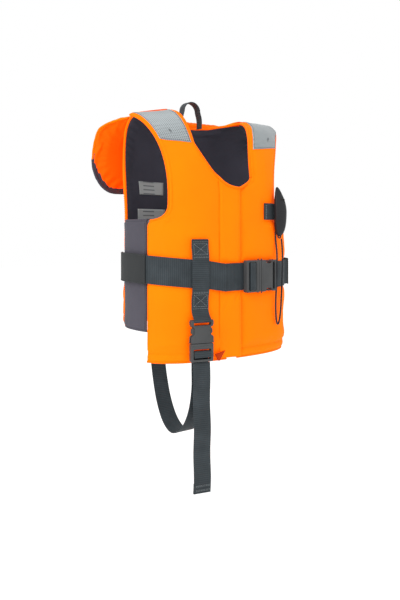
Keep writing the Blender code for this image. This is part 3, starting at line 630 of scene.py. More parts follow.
def mottled(tree, shader, colour, spread, scale, detail=4.0):
    """Base colour with a soft variation in brightness; returns the noise's own output."""
    place = node(tree, "ShaderNodeTexCoord").outputs["Object"]
    noise = node(tree, "ShaderNodeTexNoise")
    noise.inputs["Scale"].default_value = scale
    noise.inputs["Detail"].default_value = detail
    tree.links.new(place, noise.inputs["Vector"])
    ramp = node(tree, "ShaderNodeValToRGB")
    low, high = [tuple(channel * (1 + sign * spread) for channel in colour) for sign in (-1, 1)]
    ramp.color_ramp.elements[0].color = (*low, 1)
    ramp.color_ramp.elements[0].position = 0.3
    ramp.color_ramp.elements[1].color = (*[min(channel, 1) for channel in high], 1)
    ramp.color_ramp.elements[1].position = 0.7
    tree.links.new(noise.outputs["Fac"], ramp.inputs["Fac"])
    tree.links.new(ramp.outputs["Color"], shader.inputs["Base Color"])
    return noise.outputs["Fac"], ramp.outputs["Color"]


def cloth_axes(tree):
    """A point's place on the flat cloth, in metres: across and up."""
    place = node(tree, "ShaderNodeUVMap", uv_map="cloth").outputs["UV"]
    split = node(tree, "ShaderNodeSeparateXYZ")
    tree.links.new(place, split.inputs[0])
    return split.outputs["X"], split.outputs["Y"]


def plain_weave(tree, pitch):
    """Height of a plain weave: warp and weft bumps that take turns."""
    across, up = cloth_axes(tree)
    warp = maths(tree, "SINE", maths(tree, "MULTIPLY", across, 2 * pi / pitch))
    weft = maths(tree, "SINE", maths(tree, "MULTIPLY", up, 2 * pi / pitch))
    return maths(tree, "MULTIPLY", warp, weft)


def bump(tree, shader, height, strength, distance):
    made = node(tree, "ShaderNodeBump")
    made.inputs["Strength"].default_value = strength
    made.inputs["Distance"].default_value = distance
    tree.links.new(height, made.inputs["Height"])
    tree.links.new(made.outputs["Normal"], shader.inputs["Normal"])


def varied_roughness(tree, shader, noise, low, high):
    """Roughness that follows a noise."""
    spread = node(tree, "ShaderNodeMapRange")
    spread.inputs["To Min"].default_value = low
    spread.inputs["To Max"].default_value = high
    tree.links.new(noise, spread.inputs["Value"])
    tree.links.new(spread.outputs["Result"], shader.inputs["Roughness"])


def cloth_material(name, colour, roughness, spread=0.06, pitch=WEAVE_PITCH, depth=0.00010, painted_glow=None):
    """Plain-woven cloth. painted_glow is emitted light added to what the cloth reflects: painted light that
    keeps its shaded parts a bright red-orange, in place of a fluorescent dye's glow.
    """
    made, tree, shader = start_material(name, roughness, specular=0.06 if painted_glow else 0.15)
    if painted_glow:
        shader.inputs["Emission Color"].default_value = (*painted_glow, 1)
        shader.inputs["Emission Strength"].default_value = 1
    noise, _ = mottled(tree, shader, colour, spread, 22)
    weave = plain_weave(tree, pitch)
    height = maths(tree, "ADD", maths(tree, "MULTIPLY", weave, 0.5), maths(tree, "MULTIPLY", noise, 1.2))
    bump(tree, shader, height, 0.55, depth)
    varied_roughness(tree, shader, noise, roughness - 0.07, roughness + 0.07)
    return made


def webbing_material(name, colour):
    """Ribbed webbing: herringbone threads on top of the ribs that the mesh has, and painted shade that
    darkens the base colour in the troughs between the ribs.
    """
    made, tree, shader = start_material(name, 0.62, sheen=0.03, specular=0.15)
    _, tint = mottled(tree, shader, colour, 0.16, 60)
    across, up = cloth_axes(tree)
    pace = 2 * pi / 0.0011
    slant = maths(tree, "ADD", maths(tree, "ABSOLUTE", across), maths(tree, "MULTIPLY", up, 0.55))
    thread = maths(tree, "SINE", maths(tree, "MULTIPLY", slant, pace))
    rib = maths(tree, "COSINE", maths(tree, "MULTIPLY", up, 2 * pi / RIB_PITCH))
    height = maths(tree, "ADD", maths(tree, "MULTIPLY", thread, 0.4), rib)
    bump(tree, shader, height, 0.6, 0.00016)
    # Painted shade: the base colour is darkened in the troughs between the ribs and lightened a little on
    # their crests.
    rib_painted_shade = maths(tree, "ADD", maths(tree, "MULTIPLY", rib, 0.16), 0.86)
    darker = node(tree, "ShaderNodeMix", data_type="RGBA", blend_type="MULTIPLY")
    darker.inputs["Factor"].default_value = 1
    tree.links.new(tint, darker.inputs["A"])
    grey = node(tree, "ShaderNodeCombineColor")
    for channel in range(3):
        tree.links.new(rib_painted_shade, grey.inputs[channel])
    tree.links.new(grey.outputs[0], darker.inputs["B"])
    tree.links.new(darker.outputs["Result"], shader.inputs["Base Color"])
    return made


def plastic_material(name, colour, roughness=0.42):
    """Moulded plastic with a fine grain."""
    made, tree, shader = start_material(name, roughness)
    noise, _ = mottled(tree, shader, colour, 0.10, 35)
    grain = node(tree, "ShaderNodeTexNoise")
    grain.inputs["Scale"].default_value = 2600
    grain.inputs["Detail"].default_value = 2
    tree.links.new(node(tree, "ShaderNodeTexCoord").outputs["Object"], grain.inputs["Vector"])
    bump(tree, shader, grain.outputs["Fac"], 0.35, 0.00006)
    varied_roughness(tree, shader, noise, roughness - 0.06, roughness + 0.10)
    return made


def reflective_material(name, colour):
    """Silver tape printed with a fine grid of darker dots, sewn flat."""
    made, tree, shader = start_material(name, 0.36, metallic=0.25)
    _, tint = mottled(tree, shader, colour, 0.05, 40)
    across, up = cloth_axes(tree)
    pitch = 0.0060
    dots = maths(tree, "MULTIPLY", maths(tree, "COSINE", maths(tree, "MULTIPLY", across, 2 * pi / pitch)),
                 maths(tree, "COSINE", maths(tree, "MULTIPLY", up, 2 * pi / pitch)))
    spot = node(tree, "ShaderNodeMapRange")
    spot.inputs["From Min"].default_value = 0.35
    spot.inputs["From Max"].default_value = 0.75
    tree.links.new(maths(tree, "ABSOLUTE", dots), spot.inputs["Value"])
    blend = node(tree, "ShaderNodeMix", data_type="RGBA")
    tree.links.new(spot.outputs["Result"], blend.inputs["Factor"])
    tree.links.new(tint, blend.inputs["A"])
    blend.inputs["B"].default_value = (*[channel * 0.42 for channel in colour], 1)
    tree.links.new(blend.outputs["Result"], shader.inputs["Base Color"])
    bump(tree, shader, dots, 0.4, 0.00012)
    return made


def label_material(name, colour):
    """A pale woven label with a few plain grey bars where a real one has print."""
    made, tree, shader = start_material(name, 0.55)
    _, tint = mottled(tree, shader, colour, 0.05, 40)
    across, up = cloth_axes(tree)
    row = maths(tree, "SINE", maths(tree, "MULTIPLY", up, 2 * pi / 0.0062))
    ink = maths(tree, "GREATER_THAN", row, 0.55)
    inside = maths(tree, "LESS_THAN", maths(tree, "ABSOLUTE", across), 0.012)
    blend = node(tree, "ShaderNodeMix", data_type="RGBA")
    tree.links.new(maths(tree, "MULTIPLY", ink, inside), blend.inputs["Factor"])
    tree.links.new(tint, blend.inputs["A"])
    blend.inputs["B"].default_value = (0.16, 0.17, 0.18, 1)
    tree.links.new(blend.outputs["Result"], shader.inputs["Base Color"])
    bump(tree, shader, plain_weave(tree, 0.0008), 0.4, 0.00008)
    return made


def metal_material(name, colour, roughness):
    """Worn metal with a little variation in its shine."""
    made, tree, shader = start_material(name, roughness, metallic=1.0)
    noise, _ = mottled(tree, shader, colour, 0.12, 90)
    varied_roughness(tree, shader, noise, roughness - 0.08, roughness + 0.15)
    bump(tree, shader, noise, 0.3, 0.0001)
    return made


# Emitted red light for the orange cloths: painted light that keeps their shaded parts bright, in place of a
# fluorescent dye's glow.
PAINTED_GLOW = (0.36, 0.010, 0.0)
ORANGE = cloth_material("orange_cloth", (0.97, 0.192, 0.0), 0.72, 0.03, painted_glow=PAINTED_GLOW)
# A darker, redder copy of the orange cloth for the collar: painted shade for the collar hanging in shade
# behind the back, with a weaker painted glow.
ORANGE_COLLAR_PAINTED_SHADE = cloth_material("orange_collar_painted_shade", (0.96, 0.125, 0.0), 0.74, 0.05, painted_glow=(0.28, 0.002, 0.0))
ORANGE_BINDING = cloth_material("orange_binding", (0.95, 0.165, 0.0), 0.68, 0.04, pitch=0.0012, painted_glow=PAINTED_GLOW)
ORANGE_THREAD = cloth_material("orange_thread", (0.95, 0.22, 0.0), 0.55, 0.06, depth=0.00004, painted_glow=PAINTED_GLOW)
LINING = cloth_material("grey_lining", (0.045, 0.044, 0.060), 0.74, 0.10)
SIDE_CLOTH = cloth_material("grey_side_cloth", (0.066, 0.062, 0.078), 0.70, 0.08, pitch=0.0014, depth=0.00018)
DARK_THREAD = cloth_material("dark_thread", (0.05, 0.055, 0.06), 0.55, 0.08, depth=0.00004)
PALE_THREAD = cloth_material("pale_thread", (0.20, 0.22, 0.23), 0.6, 0.08, depth=0.00004)
WEBBING_CLOTH = webbing_material("webbing", (0.037, 0.046, 0.052))
SLEEVE_CLOTH = cloth_material("sleeve_cloth", (0.027, 0.029, 0.030), 0.66, 0.10, pitch=0.0016, depth=0.00016)
BUCKLE = plastic_material("buckle_plastic", (0.052, 0.054, 0.055))
WHISTLE_PLASTIC = plastic_material("whistle_plastic", (0.012, 0.012, 0.014), 0.46)
REFLECTIVE = reflective_material("reflective_tape", (0.295, 0.325, 0.335))
ZIP_TAPE = cloth_material("zip_tape", (0.45, 0.035, 0.0), 0.75, 0.10, pitch=0.0008)
ZIP_TEETH = plastic_material("zip_teeth_plastic", (0.025, 0.025, 0.028), 0.4)
ZIP_METAL = metal_material("zip_metal", (0.30, 0.30, 0.31), 0.34)
LABEL = label_material("label_cloth", (0.36, 0.38, 0.38))
CORD_CLOTH = cloth_material("cord_braid", (0.030, 0.033, 0.038), 0.62, 0.15, pitch=0.0007, depth=0.00012)


# --- Camera, light and floor ------------------------------------------------------------------------

CAMERA_TURN = radians(36.84)
CAMERA_DISTANCE = 1.0886
CAMERA_HEIGHT = 0.189
CAMERA_LENS = 42.1
CAMERA_SHIFT = (-0.0115, -0.12)
FLOOR_DROP = 0.035
FLOOR_SIZE = 6


def make_stage():
    """Camera at the photograph's viewing angle, soft studio light, pale floor."""
    turn = CAMERA_TURN
    place = Vector((-sin(turn) * CAMERA_DISTANCE, -cos(turn) * CAMERA_DISTANCE, CAMERA_HEIGHT)) - HOOK
    camera = bpy.data.objects.new("camera", bpy.data.cameras.new("camera"))
    camera.data.lens = CAMERA_LENS
    camera.data.sensor_width = 36
    camera.location = place
    camera.rotation_euler = (radians(90), 0, -turn)
    camera.data.shift_x, camera.data.shift_y = CAMERA_SHIFT
    camera.data.clip_start = 0.01
    bpy.context.scene.collection.objects.link(camera)
    bpy.context.scene.camera = camera

    scene = bpy.context.scene
    scene.view_settings.view_transform = "Standard"
    world = bpy.data.worlds.new("studio")
    scene.world = world
    world.use_nodes = True
    world.node_tree.nodes["Background"].inputs["Color"].default_value = (1, 1, 1, 1)
    world.node_tree.nodes["Background"].inputs["Strength"].default_value = 1.0

    ahead = Vector((-sin(turn), -cos(turn), 0))
    right = Vector((cos(turn), -sin(turn), 0))
    centre = Vector((0, 0, -0.22))
    lights = (
        ("key", centre + ahead * 1.3 - right * 0.9 + Vector((0, 0, 1.0)), 17, 1.0),
        ("fill", centre + ahead * 1.2 + right * 1.3 + Vector((0, 0, 0.2)), 2, 1.2),
        ("top", centre + Vector((0, 0, 1.5)), 6, 1.2),
    )
    for name, spot, power, size in lights:
        lamp = bpy.data.lights.new(name, "AREA")
        lamp.energy = power
        lamp.size = size
        made = bpy.data.objects.new(name, lamp)
        made.location = spot
        made.rotation_euler = (centre - spot).to_track_quat("-Z", "Y").to_euler()
        scene.collection.objects.link(made)

    floor_z = CAD_BOX[0][2] - FLOOR_DROP
    mesh = bpy.data.meshes.new("floor")
    build = bmesh.new()
    bmesh.ops.create_grid(build, x_segments=1, y_segments=1, size=FLOOR_SIZE)
    bmesh.ops.translate(build, verts=build.verts, vec=(0, 0, floor_z))
    build.to_mesh(mesh)
    build.free()
    floor = bpy.data.objects.new("floor", mesh)
    scene.collection.objects.link(floor)
    pale, _, shader = start_material("pale_floor", 0.9)
    shader.inputs["Base Color"].default_value = (0.97, 0.97, 0.97, 1)
    shader.inputs["Emission Color"].default_value = (1, 1, 1, 1)
    shader.inputs["Emission Strength"].default_value = 0.08
    mesh.materials.append(pale)


make_stage()


# --- Whistle's cord ---------------------------------------------------------------------------------

LANYARD_ROUTE = (
    (0.0785, -0.0699, 0.1975), (0.0780, -0.0703, 0.188), (0.0765, -0.0735, 0.172), (0.0742, -0.0790, 0.150),
    (0.0722, -0.0815, 0.118), (0.0715, -0.0805, 0.096), (0.0718, -0.0790, 0.075), (0.0735, -0.0775, 0.057),
    (0.0765, -0.0765, 0.0445), (0.0805, -0.0755, 0.0425), (0.0845, -0.0745, 0.052), (0.0875, -0.0735, 0.068),
    (0.0895, -0.0728, 0.088), (0.0905, -0.0730, 0.110), (0.0900, -0.0745, 0.130), (0.0875, -0.0770, 0.150),
    (0.0845, -0.0790, 0.164), (0.0820, -0.0805, 0.1725),
)


def make_lanyard():
    """Braided cord from the tab, down in a long loop and up to the whistle."""
    points = curve_through(LANYARD_ROUTE, 0.0008)

    def braid(run, angle):
        lay = 2 * pi / BRAID_PITCH
        return BRAID_HEIGHT * (np.sin(4 * angle + lay * run) + np.sin(4 * angle - lay * run))

    made = tube("whistle_cord", points, CORD_DIAMETER / 2 - 0.0001, CORD_CLOTH, None, sides=16, profile=braid)
    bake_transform(made)
    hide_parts("whistle_lanyard")


make_lanyard()


# --- Cloth covers -----------------------------------------------------------------------------------

def gathered(count, pull):
    """Shares from 0 to 1 that crowd together at both ends."""
    share = np.linspace(0, 1, count)
    return share - np.sin(2 * pi * share) * pull / (2 * pi)


def distance_to(points, edge):
    """Distance of each point of a grid from the nearest point of an edge."""
    flat = points.reshape(-1, 3)
    nearest = np.full(len(flat), 1e9)
    for place in edge:
        nearest = np.minimum(nearest, np.linalg.norm(flat - place, axis=1))
    return nearest.reshape(points.shape[:2])


def from_sides(base):
    """Distance of each point of a grid from its nearer side."""
    return np.minimum(distance_to(base, base[:, 0]), distance_to(base, base[:, -1]))


def from_ends(base):
    """Distance of each point of a grid from its lower or upper end, whichever is nearer."""
    return np.minimum(distance_to(base, base[0]), distance_to(base, base[-1]))


def hump(value, centre, width):
    """A bell of height 1 at the centre."""
    return np.exp(-((value - centre) / width) ** 2)


def edge_turn(distance, radius, drop):
    """How far a padded panel's face falls away close to its edge."""
    share = np.clip(1 - distance / radius, 0, 1)
    return drop * (1 - np.sqrt(1 - share ** 2 * 0.98))


def settle(points, pinned, pressure, swell, frames=16):
    """Cloth simulation of a grid held at its pinned points; returns where its points come to rest."""
    enlarged = 10
    rows, columns = points.shape[:2]
    mesh = bpy.data.meshes.new("settling")
    mesh.from_pydata((points.reshape(-1, 3) * enlarged).tolist(), [], grid_faces(rows, columns))
    held = bpy.data.objects.new("settling", mesh)
    scene = bpy.context.scene
    scene.collection.objects.link(held)
    group = held.vertex_groups.new(name="pinned")
    group.add(np.flatnonzero(pinned.ravel()).tolist(), 1, "REPLACE")
    change = held.modifiers.new("cloth", "CLOTH")
    change.settings.vertex_group_mass = "pinned"
    change.settings.mass = 0.1
    change.settings.quality = 5
    change.settings.tension_stiffness = 15
    change.settings.compression_stiffness = 15
    change.settings.shear_stiffness = 5
    change.settings.bending_stiffness = 0.4
    change.settings.use_pressure = True
    change.settings.uniform_pressure_force = pressure
    change.settings.shrink_min = -swell
    change.settings.effector_weights.gravity = 0
    change.collision_settings.use_collision = False
    change.point_cache.frame_start = 1
    change.point_cache.frame_end = frames
    for step in range(1, frames + 1):
        scene.frame_set(step)
    graph = bpy.context.evaluated_depsgraph_get()
    rested = held.evaluated_get(graph).data
    places = np.zeros(len(rested.vertices) * 3)
    rested.vertices.foreach_get("co", places)
    bpy.data.objects.remove(held, do_unlink=True)
    scene.frame_set(1)
    return places.reshape(points.shape) / enlarged


def relax(points, outs, pinned, room, pressure=3.0, swell=0.012, inward=0.0015):
    """Wrinkles a padded cover by simulation, and keeps it within room outwards of where it started."""
    rested = settle(points, pinned, pressure, swell)
    move = rested - points
    out = (move * outs).sum(-1, keepdims=True)
    slide = move - outs * out
    slide *= np.minimum(1, 0.0012 / np.maximum(np.linalg.norm(slide, axis=-1, keepdims=True), 1e-9))
    room = np.broadcast_to(room, points.shape[:2])[..., None]
    out = np.where(out > 0, room * np.tanh(out / np.maximum(room, 1e-6)), inward * np.tanh(out / inward))
    return points + outs * out + slide


def made_panel(u, v, points, flip):
    """A grid, the shares that its rows and columns stand at, and which way is out, for what is sewn on it."""
    return {"u": u, "v": v, "points": points, "outs": grid_normals(points) * (-1 if flip else 1)}


def on_panel(panel, u, v, out=0.0, field="points"):
    """Points at shares u and v of a panel, standing out from it."""
    u, v = np.broadcast_arrays(np.asarray(u, float), np.asarray(v, float))
    column = np.interp(u, panel["u"], np.arange(len(panel["u"])))
    row = np.interp(v, panel["v"], np.arange(len(panel["v"])))
    c = np.minimum(column.astype(int), len(panel["u"]) - 2)
    r = np.minimum(row.astype(int), len(panel["v"]) - 2)
    a, b = (column - c)[..., None], (row - r)[..., None]

    def between(data):
        low = data[r, c] * (1 - a) + data[r, c + 1] * a
        return low * (1 - b) + (data[r + 1, c] * (1 - a) + data[r + 1, c + 1] * a) * b

    if field == "outs":
        return unit(between(panel["outs"]))
    return between(panel["points"]) + unit(between(panel["outs"])) * out


def belt_press(angle, z):
    """The belt squeezes the foam, which swells beside it."""
    off = np.abs(z - belt_height(angle))
    under = 1 - ease((off - 0.018) / 0.008)
    beside = hump(off, 0.036, 0.016)
    return under, beside


def strap_press(x, z):
    """1 under the crotch strap and its buckle, falling to 0 beside it."""
    beside = 1 - ease((np.abs(x - CROTCH_X) - STRAP_PRESS) / 0.010)
    return beside * (1 - ease((z - CROTCH_TOP) / 0.010))


def tab_press(x, z):
    """1 under the whistle's tab."""
    across = 1 - ease((np.abs(x - TAB_MIDDLE) - 0.018) / 0.008)
    return across * (1 - ease((np.abs(z - WHISTLE_Z) - 0.0135) / 0.008))


FRONT_ROWS, FRONT_COLUMNS = 96, 34
BACK_ROWS, BACK_COLUMNS = 88, 64
LEAST_ROOM = 0.00005                       # how far outwards cloth that is held may still move


def panel_rows(count, pull):
    """Shares that a panel's rows stand at: crowded at the hem and even towards the top."""
    vs = gathered(count, pull)
    return np.where(vs > 0.5, mix(vs, np.linspace(0, 1, count), ease((vs - 0.5) / 0.4)), vs)


def from_nape(base):
    """Distance of each point of the back from the neck opening's edge."""
    nape = base[-1][np.abs(base[-1, :, 0]) < NECK_HALF_WIDTH * 0.99]
    return distance_to(base, evenly(nape, 0.001))


def front_cover(side):
    """Outer cover of one front half, stitched down along its edges and hem and squeezed by the straps."""
    us, vs = gathered(FRONT_COLUMNS, 0.55), panel_rows(FRONT_ROWS, 0.35)
    corner = (ARMHOLE_BOTTOM + np.array([0.0001, 0.0006, 0.0018, 0.0036, 0.0062, 0.0095])) / FRONT_LENGTH
    vs = np.concatenate([vs[(vs < corner[0] - 0.003) | (vs > corner[-1] + 0.003)], corner])
    vs.sort()
    u, v = np.meshgrid(us, vs)
    angle, rise = front_place(side, u, v)
    base, outs = skin(angle, rise), outward(angle, rise)
    x, z = base[..., 0], base[..., 2]
    seam = from_sides(base)
    hem = distance_to(base, base[0])
    near = np.minimum(seam, hem)
    body = np.clip(near / FRONT_REACH, 0, 1) ** 0.6
    strap = ease((z - 0.24) / 0.06)
    puff = mix(FRONT_PUFF, STRAP_PUFF, strap) * body
    under, beside = belt_press(angle, z)
    puff = puff * (1 - under) + FRONT_BELT_SWELL * beside * body - BELT_DENT * under
    puff = puff + wave_noise(x, z, 5 + side, 0.085) * 0.0006 * body * (1 - under)
    puff = puff + wave_noise(x, z, 9 + side, 0.034) * 0.0002 * body * (1 - under)
    run = np.linalg.norm(np.diff(base[:, -1], axis=0), axis=1)
    along = np.pad(np.cumsum(run), (1, 0))[:, None]
    pucker = np.sin(2 * pi * along / FRONT_PUCKER_PITCH + 2 * wave_noise(along, along * 0, 3, 0.06))
    puff = puff + FRONT_PUCKER * pucker * hump(seam, 0.010, 0.005)
    groove = hump(seam, TOPSTITCH, GROOVE_WIDTH) * GROOVE_DEPTH
    groove = groove + hump(hem, 0.0125, GROOVE_WIDTH) * 0.0034
    puff = puff + 0.0016 * hump(hem, 0.0240, 0.0090) * body
    puff = puff - groove - edge_turn(near, *COVER_EDGE)
    pressed = strap_press(x, z) if side < 0 else tab_press(x, z)
    ceiling = np.where(np.abs(z - CROSSING_Z) < 0.034, 0.0012, 0.0006) if side < 0 else 0.0002
    puff = np.where(pressed > 0, mix(puff, np.minimum(puff, ceiling), pressed), puff)
    points = base + outs * puff[..., None]
    pinned = (near < TOPSTITCH) | (under > 0.9) | (np.abs(hem - HEM_STITCH) < 0.0015) | (v > 0.999)
    room = 0.0016 * body * (1 - under) * (1 - pressed) + LEAST_ROOM
    points = relax(points, outs, pinned, room)
    return made_panel(us, vs, points, side < 0)


def back_cover():
    """Outer cover of the back, between the armholes and below the nape."""
    us, vs = gathered(BACK_COLUMNS, 0.45), panel_rows(BACK_ROWS, 0.30)
    u, v = np.meshgrid(us, vs)
    angle, rise = back_place(u, v)
    base, outs = skin(angle, rise), outward(angle, rise)
    x, z = base[..., 0], base[..., 2]
    sides = from_sides(base)
    top = from_nape(base)
    hem = distance_to(base, base[0])
    near = np.minimum(np.minimum(sides, top), hem)
    body = np.clip(near / BACK_REACH, 0, 1) ** 0.6
    under, beside = belt_press(angle, z)
    puff = BACK_PUFF * body * (1 - under) + BACK_BELT_SWELL * beside * body - BELT_DENT * under
    puff = puff + 0.0034 * hump(sides, 0.015, 0.013) * (1 - ease((z - 0.085) / 0.03)) * (1 - under)
    puff = puff + wave_noise(x, z, 21, 0.080) * 0.0008 * body * (1 - under)
    groove = hump(np.minimum(sides, top), TOPSTITCH, GROOVE_WIDTH) * GROOVE_DEPTH
    groove = groove + hump(hem, HEM_STITCH, 0.0017) * 0.0014
    puff = puff - groove - edge_turn(near, *COVER_EDGE)
    points = base + outs * puff[..., None]
    pinned = (near < TOPSTITCH) | (under > 0.9) | (np.abs(hem - HEM_STITCH) < 0.0015) | (v > 0.999)
    room = 0.0018 * body * (1 - under) + LEAST_ROOM
    points = relax(points, outs, pinned, room)
    return made_panel(us, vs, points, False)


def lining_of(place, us, vs, side, seed, nape=False):
    """Inside face of a panel: grey lining that meets the cover at its edges, gathered a little along them."""
    u, v = np.meshgrid(us, vs)
    angle, rise = place(u, v)
    base, outs = skin(angle, rise), outward(angle, rise)
    x, z = base[..., 0], base[..., 2]
    near = np.minimum(from_sides(base), distance_to(base, base[0]))
    if nape:
        near = np.minimum(near, from_nape(base))
    full = CLOTH + 0.0016 + plump(u, v, FOAM_BODY)
    share = np.sqrt(1 - (1 - np.clip(near / 0.011, 0, 1)) ** 2)
    depth = mix(0.0036, full, share)
    pucker = np.sin(2 * pi * z / LINING_PUCKER_PITCH + 2.4 * wave_noise(z, x, seed, 0.07))
    depth = depth - LINING_PUCKER * pucker * hump(near, 0.011, 0.010) * ease(near / 0.004)
    depth = depth + 0.0011 * wave_noise(x, z, seed + 1, 0.055) * np.clip(near / 0.02, 0, 1)
    points = base - outs * depth[..., None]
    return made_panel(us, vs, points, side < 0)


def show_panel(name, panel, finish, body, flip, nodes, inside=False):
    """Closed cloth sheet of a panel. Its smooth look comes from one subdivision."""
    made = cloth_sheet(name, panel["points"], SHEET, finish, body, flip != inside)
    smooth = made.modifiers.new("smooth", "SUBSURF")
    smooth.levels = smooth.render_levels = 1
    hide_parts(*nodes)
    return made


def row_at(panel, u0, v0, u1, v1, count=160, out=0.0002):
    """A straight row in a panel's shares, as points and outward directions."""
    u, v = np.linspace(u0, u1, count), np.linspace(v0, v1, count)
    return on_panel(panel, u, v, out), on_panel(panel, u, v, field="outs")


def row_beside(panel, edge, gap, start=0.0, end=1.0, out=0.00015, count=220):
    """A row of stitches at an even distance from a panel's left, right or bottom edge."""
    share = np.linspace(start, end, count)
    points = panel["points"]
    left, right, bottom, _ = edge_distances(points)
    if edge == "bottom":
        column = np.interp(share, panel["u"], np.arange(len(panel["u"])))
        v = np.array([np.interp(gap, bottom[:, int(round(c))], panel["v"]) for c in column])
        return on_panel(panel, share, v, out), on_panel(panel, share, v, field="outs")
    row = np.interp(share, panel["v"], np.arange(len(panel["v"])))
    if edge == "left":
        u = np.array([np.interp(gap, left[int(round(r))], panel["u"]) for r in row])
    else:
        u = np.array([np.interp(-gap, -right[int(round(r))], panel["u"]) for r in row])
    return on_panel(panel, u, share, out), on_panel(panel, u, share, field="outs")


RIGHT_COVER, LEFT_COVER, BACK_COVER = front_cover(-1), front_cover(1), back_cover()
RIGHT_LINING = lining_of(lambda u, v: front_place(-1, u, v), RIGHT_COVER["u"], RIGHT_COVER["v"], -1, 31)
LEFT_LINING = lining_of(lambda u, v: front_place(1, u, v), LEFT_COVER["u"], LEFT_COVER["v"], 1, 33)
BACK_LINING = lining_of(back_place, BACK_COVER["u"], BACK_COVER["v"], 1, 35, nape=True)


def make_covers():
    """The covers and linings of both front halves and of the back."""
    for word, side, cover, lining in (("right", -1, RIGHT_COVER, RIGHT_LINING),
                                      ("left", 1, LEFT_COVER, LEFT_LINING)):
        made = show_panel(f"front_cover_{word}", cover, ORANGE, "vest", side < 0,
                          nodes=(f"front_shell_{word}", f"front_foam_{word}"))
        show_panel(f"front_inside_{word}", lining, LINING, "vest", side < 0, inside=True,
                   nodes=(f"front_lining_{word}",))
    made = show_panel("back_cover", BACK_COVER, ORANGE, "vest", False,
                      nodes=("back_shell", "back_foam"))
    show_panel("back_inside", BACK_LINING, LINING, "vest", False, inside=True,
               nodes=("back_lining",))


def edge_line(panel, edge, start, end, out=0.0, count=200):
    """Points along a panel's left, right or bottom edge."""
    share = np.linspace(start, end, count)
    if edge == "left":
        return on_panel(panel, 0 * share, share, out)
    if edge == "right":
        return on_panel(panel, 0 * share + 1, share, out)
    return on_panel(panel, share, 0 * share, out)


def share_at_height(panel, column, height):
    """The share of a panel's rows at which one of its columns reaches a height."""
    return float(np.interp(height, panel["points"][:, column, 2][:60], panel["v"][:60]))


FLAP_PANEL = {}


def bind(name, route, radius=ROLL_RADIUS):
    """An orange cloth edge rolled over and sewn."""
    profile = roll if radius == ROLL_RADIUS else None
    tube(name, route, radius, ORANGE_BINDING, "vest", profile=profile)


def make_bindings():
    """Rolled orange edges of the armholes and the neck, and the bound hems."""
    for word, cover in (("right", RIGHT_COVER), ("left", LEFT_COVER)):
        low = share_at_height(cover, -1, ARMHOLE_BOTTOM)
        front = edge_line(cover, "right", low, 1)
        behind = edge_line(BACK_COVER, word, 1, share_at_height(BACK_COVER, 0, ARMHOLE_BOTTOM))
        bind(f"armhole_binding_{word}",
             smoothed(evenly(np.vstack([front[:-3], behind[3:]]), ROLL_SPACING), 2))
        hem = edge_line(cover, "bottom", 0, 1)
        bind(f"front_hem_roll_{word}", evenly(hem, HEM_SPACING), HEM_ROLL_RADIUS)
    low = NECK_BOTTOM / FRONT_LENGTH
    right = edge_line(RIGHT_COVER, "left", low + 0.035, 1)
    left = edge_line(LEFT_COVER, "left", 1, low + 0.012)
    across = FLAP_PANEL["points"][-1][::-1]
    top = BACK_COVER["points"][-1]
    nape = top[np.abs(top[:, 0]) < NECK_HALF_WIDTH * 0.97][::-1]
    neck = np.vstack([across[2:-1], right[:-3], nape, left[3:], across[:3]])
    bind("neck_binding", smoothed(evenly(neck, ROLL_SPACING), 2))
    bind("back_hem_roll", evenly(edge_line(BACK_COVER, "bottom", 0, 1), HEM_SPACING), HEM_ROLL_RADIUS)


def roll(run, angle):
    """The small waves along a rolled edge."""
    return 0.00012 * np.sin(2 * pi * run / 0.007 + np.sin(run * 130)) * (0.6 + 0.4 * np.cos(angle))


def smoothed(points, rounds):
    """A polyline with each point drawn towards its neighbours, its ends kept."""
    points = points.copy()
    for _ in range(rounds):
        points[1:-1] = (points[:-2] + 2 * points[1:-1] + points[2:]) / 4
    return points


def make_topstitching():
    """Rows of orange stitches along the covers' edges and hems."""
    lines = []
    for cover in (RIGHT_COVER, LEFT_COVER):
        for gap in (TOPSTITCH - 0.0012, TOPSTITCH + 0.0016):
            lines.append(row_beside(cover, "left", gap, 0.61, 0.995))
        lines.append(row_beside(cover, "right", TOPSTITCH, 0.06, 0.995))
        lines.append(row_beside(cover, "bottom", HEM_STITCH, 0.02, 0.98))
    lines.append(row_beside(BACK_COVER, "left", TOPSTITCH, 0.04, 0.995))
    lines.append(row_beside(BACK_COVER, "right", TOPSTITCH, 0.04, 0.995))
    lines.append(row_beside(BACK_COVER, "bottom", HEM_STITCH, 0.02, 0.98))
    stitches("cover_topstitching", lines, ORANGE_THREAD, "vest", slot="orange_cloth")


